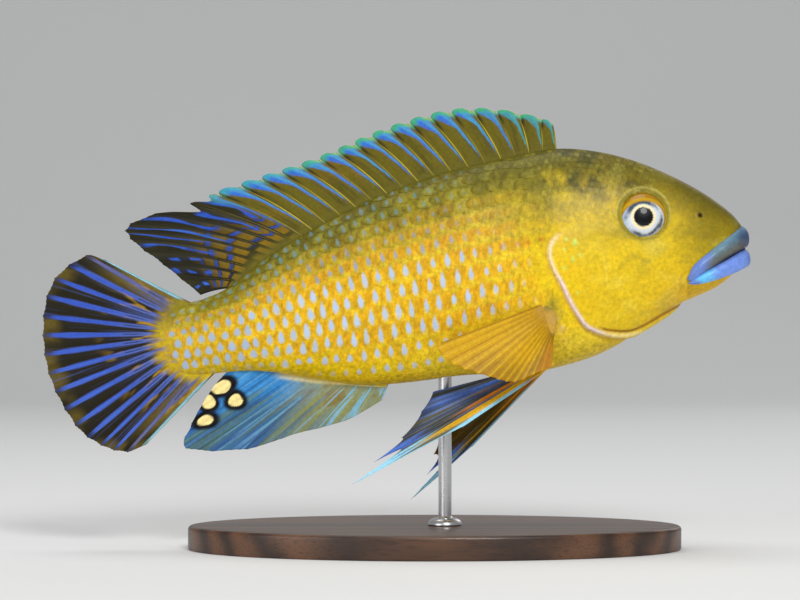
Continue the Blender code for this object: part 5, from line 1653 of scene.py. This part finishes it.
def pelvic_ray_colours(ray, share):
    """Yellow roots, then grey rays, with the bright edge along the spine and the long filament."""
    return layers(
        PELVIC_GREY,
        (PELVIC_NAVY, 0.6 * ease(0.5, 0.8, share)),
        (PELVIC_EDGE, ease(0.3, 0.1, ray) * ease(0.15, 0.4, share)),
        (PELVIC_EDGE, ease(1.3, 1.0, ray) * ease(0.70, 0.85, share)),
        (PELVIC_YELLOW, ease(0.5, 1.0, ray) * ease(1.6, 1.2, ray) * ease(0.75, 0.55, share)),
        (PELVIC_YELLOW, ease(0.35, 0.12, share)),
    )


for label, side in (("pelvic_fin_right", -1), ("pelvic_fin_left", 1)):
    tips = PELVIC_TIPS[side]
    ends = [Vector((row[1], row[2] * side, row[3])) for row in (tips[1], tips[5])]
    root = Vector((float(smooth_rows(PELVIC_ROOTS, [1.0])[0, 0]), PELVIC_HINGE[0] * side, PELVIC_HINGE[1]))
    fin = Fin(PELVIC_ROOTS, tips, PELVIC_RAYS, (ends[0] - root).cross(ends[1] - root), pleat=0.14, side=side)
    colours = near_pelvic_colours if side < 0 else far_pelvic_colours
    lines = spine_lines([0], 1.0, (0.34, 0.10))
    lines += [(1, (0.08 * k, 0.2), (0, 0.5), 1.0, (0.22, 0.08)) for k in (-1, 1)]
    lines += soft_ray_lines(2, 5, 0.99, 0.15, 0.3)
    show_fin(label, fin, pelvic_margin, (colours, pelvic_ray_colours), PELVIC_GRID, lines, (label,), "pelvic_fins")


# The breast fins: fourteen soft rays fanned from a fleshy lobe behind each gill cover, with clear amber
# skin between them, folded like a paper fan.
PECTORAL_ROOTS = ((0, 31.6, 8.9, -3.8), (6, 31.4, 9.1, -6.8), (13, 31.4, 8.7, -10.4))
PECTORAL_TIPS = (
    (0, 7.8, 16.0, -8.4), (1, 6.9, 16.4, -9.6), (3, 9.4, 16.4, -13.2), (6, 16.4, 15.8, -17.0),
    (9, 21.4, 14.6, -19.0), (11, 25.4, 13.4, -18.2), (13, 29.6, 12.2, -17.2),
)
PECTORAL_RAYS = 14
PECTORAL_GRID = (13 * 18, 64)
LOBE_CENTRE, LOBE_RADII = (30.9, 9.15, -6.9), (1.55, 0.62, 3.7)
AMBER_SKIN = paint(0.83, 0.63, 0.04)
AMBER_DARK = paint(0.56, 0.40, 0.05)
AMBER_RAY = paint(0.95, 0.80, 0.17)
AMBER_RUST = paint(0.74, 0.47, 0.03)
LOBE_SHADOW_GREY = paint(0.74, 0.60, 0.36)


def pectoral_colours(ray, share, out, _point):
    """Amber skin, darkest in the folds where shade is painted between the rays, darker below and at the rim, with a
    grey painted shadow where it leaves its lobe.
    """
    part = np.abs(ray - np.round(ray))
    lane = lanes(ray, out, 14.0)
    fine = np.abs(np.sin(2 * np.pi * ray + 0.6 * lane))
    return layers(
        AMBER_SKIN,
        # Painted shade in the folds between the rays.
        (AMBER_DARK, 0.30 * ease(0.25, 0.5, part) + 0.25 * lane),
        (AMBER_DARK, 0.75 * ease(8.5, 12.0, ray) * ease(1.0, 0.80, out)),
        (AMBER_DARK, 0.35 * ease(0.5, 0.1, out) + 0.62 * ease(0.55, 0.95, out) * ease(2.0, 6.0, ray)),
        (AMBER_DARK, 0.40 * ease(0.45, 0.10, fine) * ease(0.15, 0.45, out)),
        (AMBER_RAY, 0.45 * hump(part, 0.0, 0.10) * ease(0.1, 0.35, out)),
        (AMBER_RUST, 0.65 * ease(10.8, 12.2, ray) * ease(0.20, 0.45, out)),
        (AMBER_DARK, 0.65 * ease(0.55, 0.10, ray)),
        # Grey painted shadow where the skin leaves the lobe.
        (LOBE_SHADOW_GREY, 0.5 * ease(0.16, 0.02, share + 0.05 * lane)),
    )


def pectoral_ray_colours(ray, share):
    """Bright amber rays, darker towards the lowest."""
    return layers(
        AMBER_SKIN,
        (AMBER_RAY, ease(0.15, 0.4, share)),
        (AMBER_DARK, 0.55 * ease(8.5, 12.0, ray)),
    )


def fin_lobe(name, side):
    """The fleshy lobe that the rays fan out of."""
    rings, spokes = 30, 48
    tilts, turns = np.linspace(0.04, math.pi - 0.04, rings), np.arange(spokes) * 2 * math.pi / spokes
    tilt, turn = np.meshgrid(tilts, turns, indexing="ij")
    unit = np.stack([np.sin(tilt) * np.cos(turn), np.sin(tilt) * np.sin(turn), np.cos(tilt)], axis=-1)
    flute = 1 + 0.03 * np.sin(unit[..., 2] * 16) * np.clip(-unit[..., 0], 0, 1)
    unit[..., :2] *= flute[..., None]
    points = ((unit * LOBE_RADII + LOBE_CENTRE) * (1, side, 1)).reshape(-1, 3)
    mesh = fish_mesh(name, points, ring_faces(rings, spokes))
    turn_outward(mesh)
    cloud = ripple(points[:, 0], points[:, 2], 15.0, 1.5)
    colour = layers(
        AMBER_SKIN,
        # Grey painted shadow over the front of the lobe.
        (LOBE_SHADOW_GREY, 0.45 + 0.3 * cloud),
        (AMBER_SKIN, 0.8 * ease(30.9, 29.9, points[:, 0] + 0.4 * cloud)),
        (MOTTLE_OLIVE, 0.85 * ease(-6.6, -4.2, points[:, 2] + 0.8 * cloud)),
    )
    add_markings(mesh, colour)
    return mesh


for label, side in (("pectoral_fin_right", -1), ("pectoral_fin_left", 1)):
    corners = [table[end] for table in (PECTORAL_ROOTS, PECTORAL_TIPS) for end in (0, -1)]
    ends = [Vector((row[1], row[2] * side, row[3])) for row in corners]
    turn = (ends[2] - ends[0]).cross(ends[3] - ends[1])
    fin = Fin(PECTORAL_ROOTS, PECTORAL_TIPS, PECTORAL_RAYS, turn, pleat=0.012, sink=0.0, side=side)
    lines = soft_ray_lines(0, PECTORAL_RAYS - 1, 0.985, 0.10, 0.3, 0.13)
    colours = (pectoral_colours, pectoral_ray_colours)
    show_fin(label, fin, scalloped, colours, PECTORAL_GRID, lines, (label,), "pectoral_fins")
    show(fin_lobe(label + "_lobe", side), ray_finish, ())


# The stand: a low oval block of oiled walnut with an eased edge, and a brushed steel rod that is turned in
# one piece with its foot, pegged into the block below and into the belly above.
BASE_CENTRE, BASE_LENGTH, BASE_WIDTH, BASE_HEIGHT, BASE_CHAMFER = 8.0, 104.0, 62.0, 5.0, 0.8
ROD_ALONG, ROD_RADIUS, ROD_TOP = 10.2, 1.4, 37.5
COLLAR_RADIUS, COLLAR_HEIGHT = 3.6, 1.6
LATHE_SPOKES, LATHE_SHARP = 192, 35
WALNUT_DARK = paint(0.20, 0.12, 0.07)
WALNUT_PALE = paint(0.40, 0.26, 0.16)
RING_SCALE, RING_WANDER, WALNUT_PORES = 55.0, 5.0, 2600.0
STEEL_GREY, STEEL_SCRATCHES = (0.62, 0.62, 0.63), 9000.0


def turned(name, profile, centre, stretch=(1.0, 1.0)):
    """A closed body turned round an upright axis from a profile of radius and height, in millimetres."""
    points = []
    for radius, height in profile:
        for spoke in range(LATHE_SPOKES):
            turn = 2 * math.pi * spoke / LATHE_SPOKES
            points.append((centre + radius * math.cos(turn) * stretch[0], radius * math.sin(turn) * stretch[1], height))
    mesh = bpy.data.meshes.new(name)
    mesh.from_pydata(np.array(points) * MM, [], ring_faces(len(profile), LATHE_SPOKES))
    turn_outward(mesh)
    mesh.shade_smooth()
    mesh.set_sharp_from_angle(angle=math.radians(LATHE_SHARP))
    return mesh


def walnut():
    """Dark oiled walnut: growth rings drawn out along the block, with open pores."""
    material, tree, shader = plain_material("oiled walnut", WALNUT_DARK, 0.42)
    sockets = {
        "Vector": stretched(tree, (0.10, 1.0, 1.0), (0.12, 0.05, 0.06)),
        "Scale": RING_SCALE,
        "Distortion": RING_WANDER,
        "Detail": 3.0,
        "Detail Scale": 1.6,
    }
    rings = add_node(tree, "ShaderNodeTexWave", sockets, wave_type="RINGS", rings_direction="X")
    tones = add_node(tree, "ShaderNodeValToRGB", {"Fac": rings.outputs["Fac"]})
    for stop, tone in zip(tones.color_ramp.elements, (WALNUT_DARK, WALNUT_PALE)):
        stop.color = (*tone, 1)
    pores = noise(tree, stretched(tree, (0.06, 1.0, 1.0)), WALNUT_PORES)
    sockets = {
        "Base Color": scaled(tree, tones.outputs["Color"], remap(tree, pores, 0.55, 1.0, 0.30, 0.48)),
        "Normal": bump(tree, pores, 0.4, 0.1),
        "Coat Weight": 0.15,
    }
    wire(tree, shader, sockets)
    return material


def steel():
    """Steel brushed round the rod: fine rings of scratches in its gloss and height."""
    material, tree, shader = plain_material("brushed steel", STEEL_GREY, 0.28)
    scratch = noise(tree, stretched(tree, (0.05, 0.05, 1.0)), STEEL_SCRATCHES, 3.0)
    sockets = {
        "Metallic": 1.0,
        "Roughness": remap(tree, scratch, 0.20, 0.42),
        "Normal": bump(tree, scratch, 0.25, 0.02),
    }
    wire(tree, shader, sockets)
    return material


def quarter_turns(steps):
    """The cosine and sine of each step through a quarter turn."""
    turns = [math.radians(90 * step / steps) for step in range(steps + 1)]
    return [(math.cos(turn), math.sin(turn)) for turn in turns]


half = BASE_LENGTH / 2
base_profile = [(half - 0.5, 0.0), (half - 0.15, 0.12), (half, 0.45)]
for cosine, sine in quarter_turns(6):
    base_profile.append((half - BASE_CHAMFER * (1 - cosine), BASE_HEIGHT - BASE_CHAMFER * (1 - sine)))
base_profile += [(half * share, BASE_HEIGHT) for share in (0.9, 0.7, 0.5, 0.3, 0.1)]
block = turned("stand_base_block", base_profile, BASE_CENTRE, (1.0, BASE_WIDTH / BASE_LENGTH))
show(block, walnut(), ("stand_base",))
throat, collar, foot = ROD_RADIUS + 0.3, COLLAR_RADIUS - ROD_RADIUS - 0.3, BASE_HEIGHT + 0.2
rod_profile = [(COLLAR_RADIUS - 0.2, BASE_HEIGHT), (COLLAR_RADIUS, foot)]
for cosine, sine in quarter_turns(8):
    rod_profile.append((throat + collar * cosine, foot + (COLLAR_HEIGHT - 0.2) * sine))
rod_profile += [(ROD_RADIUS, BASE_HEIGHT + COLLAR_HEIGHT + 0.35), (ROD_RADIUS, ROD_TOP)]
show(turned("stand_rod_turned", rod_profile, ROD_ALONG), steel(), ("stand_rod",))

bpy.context.view_layer.update()
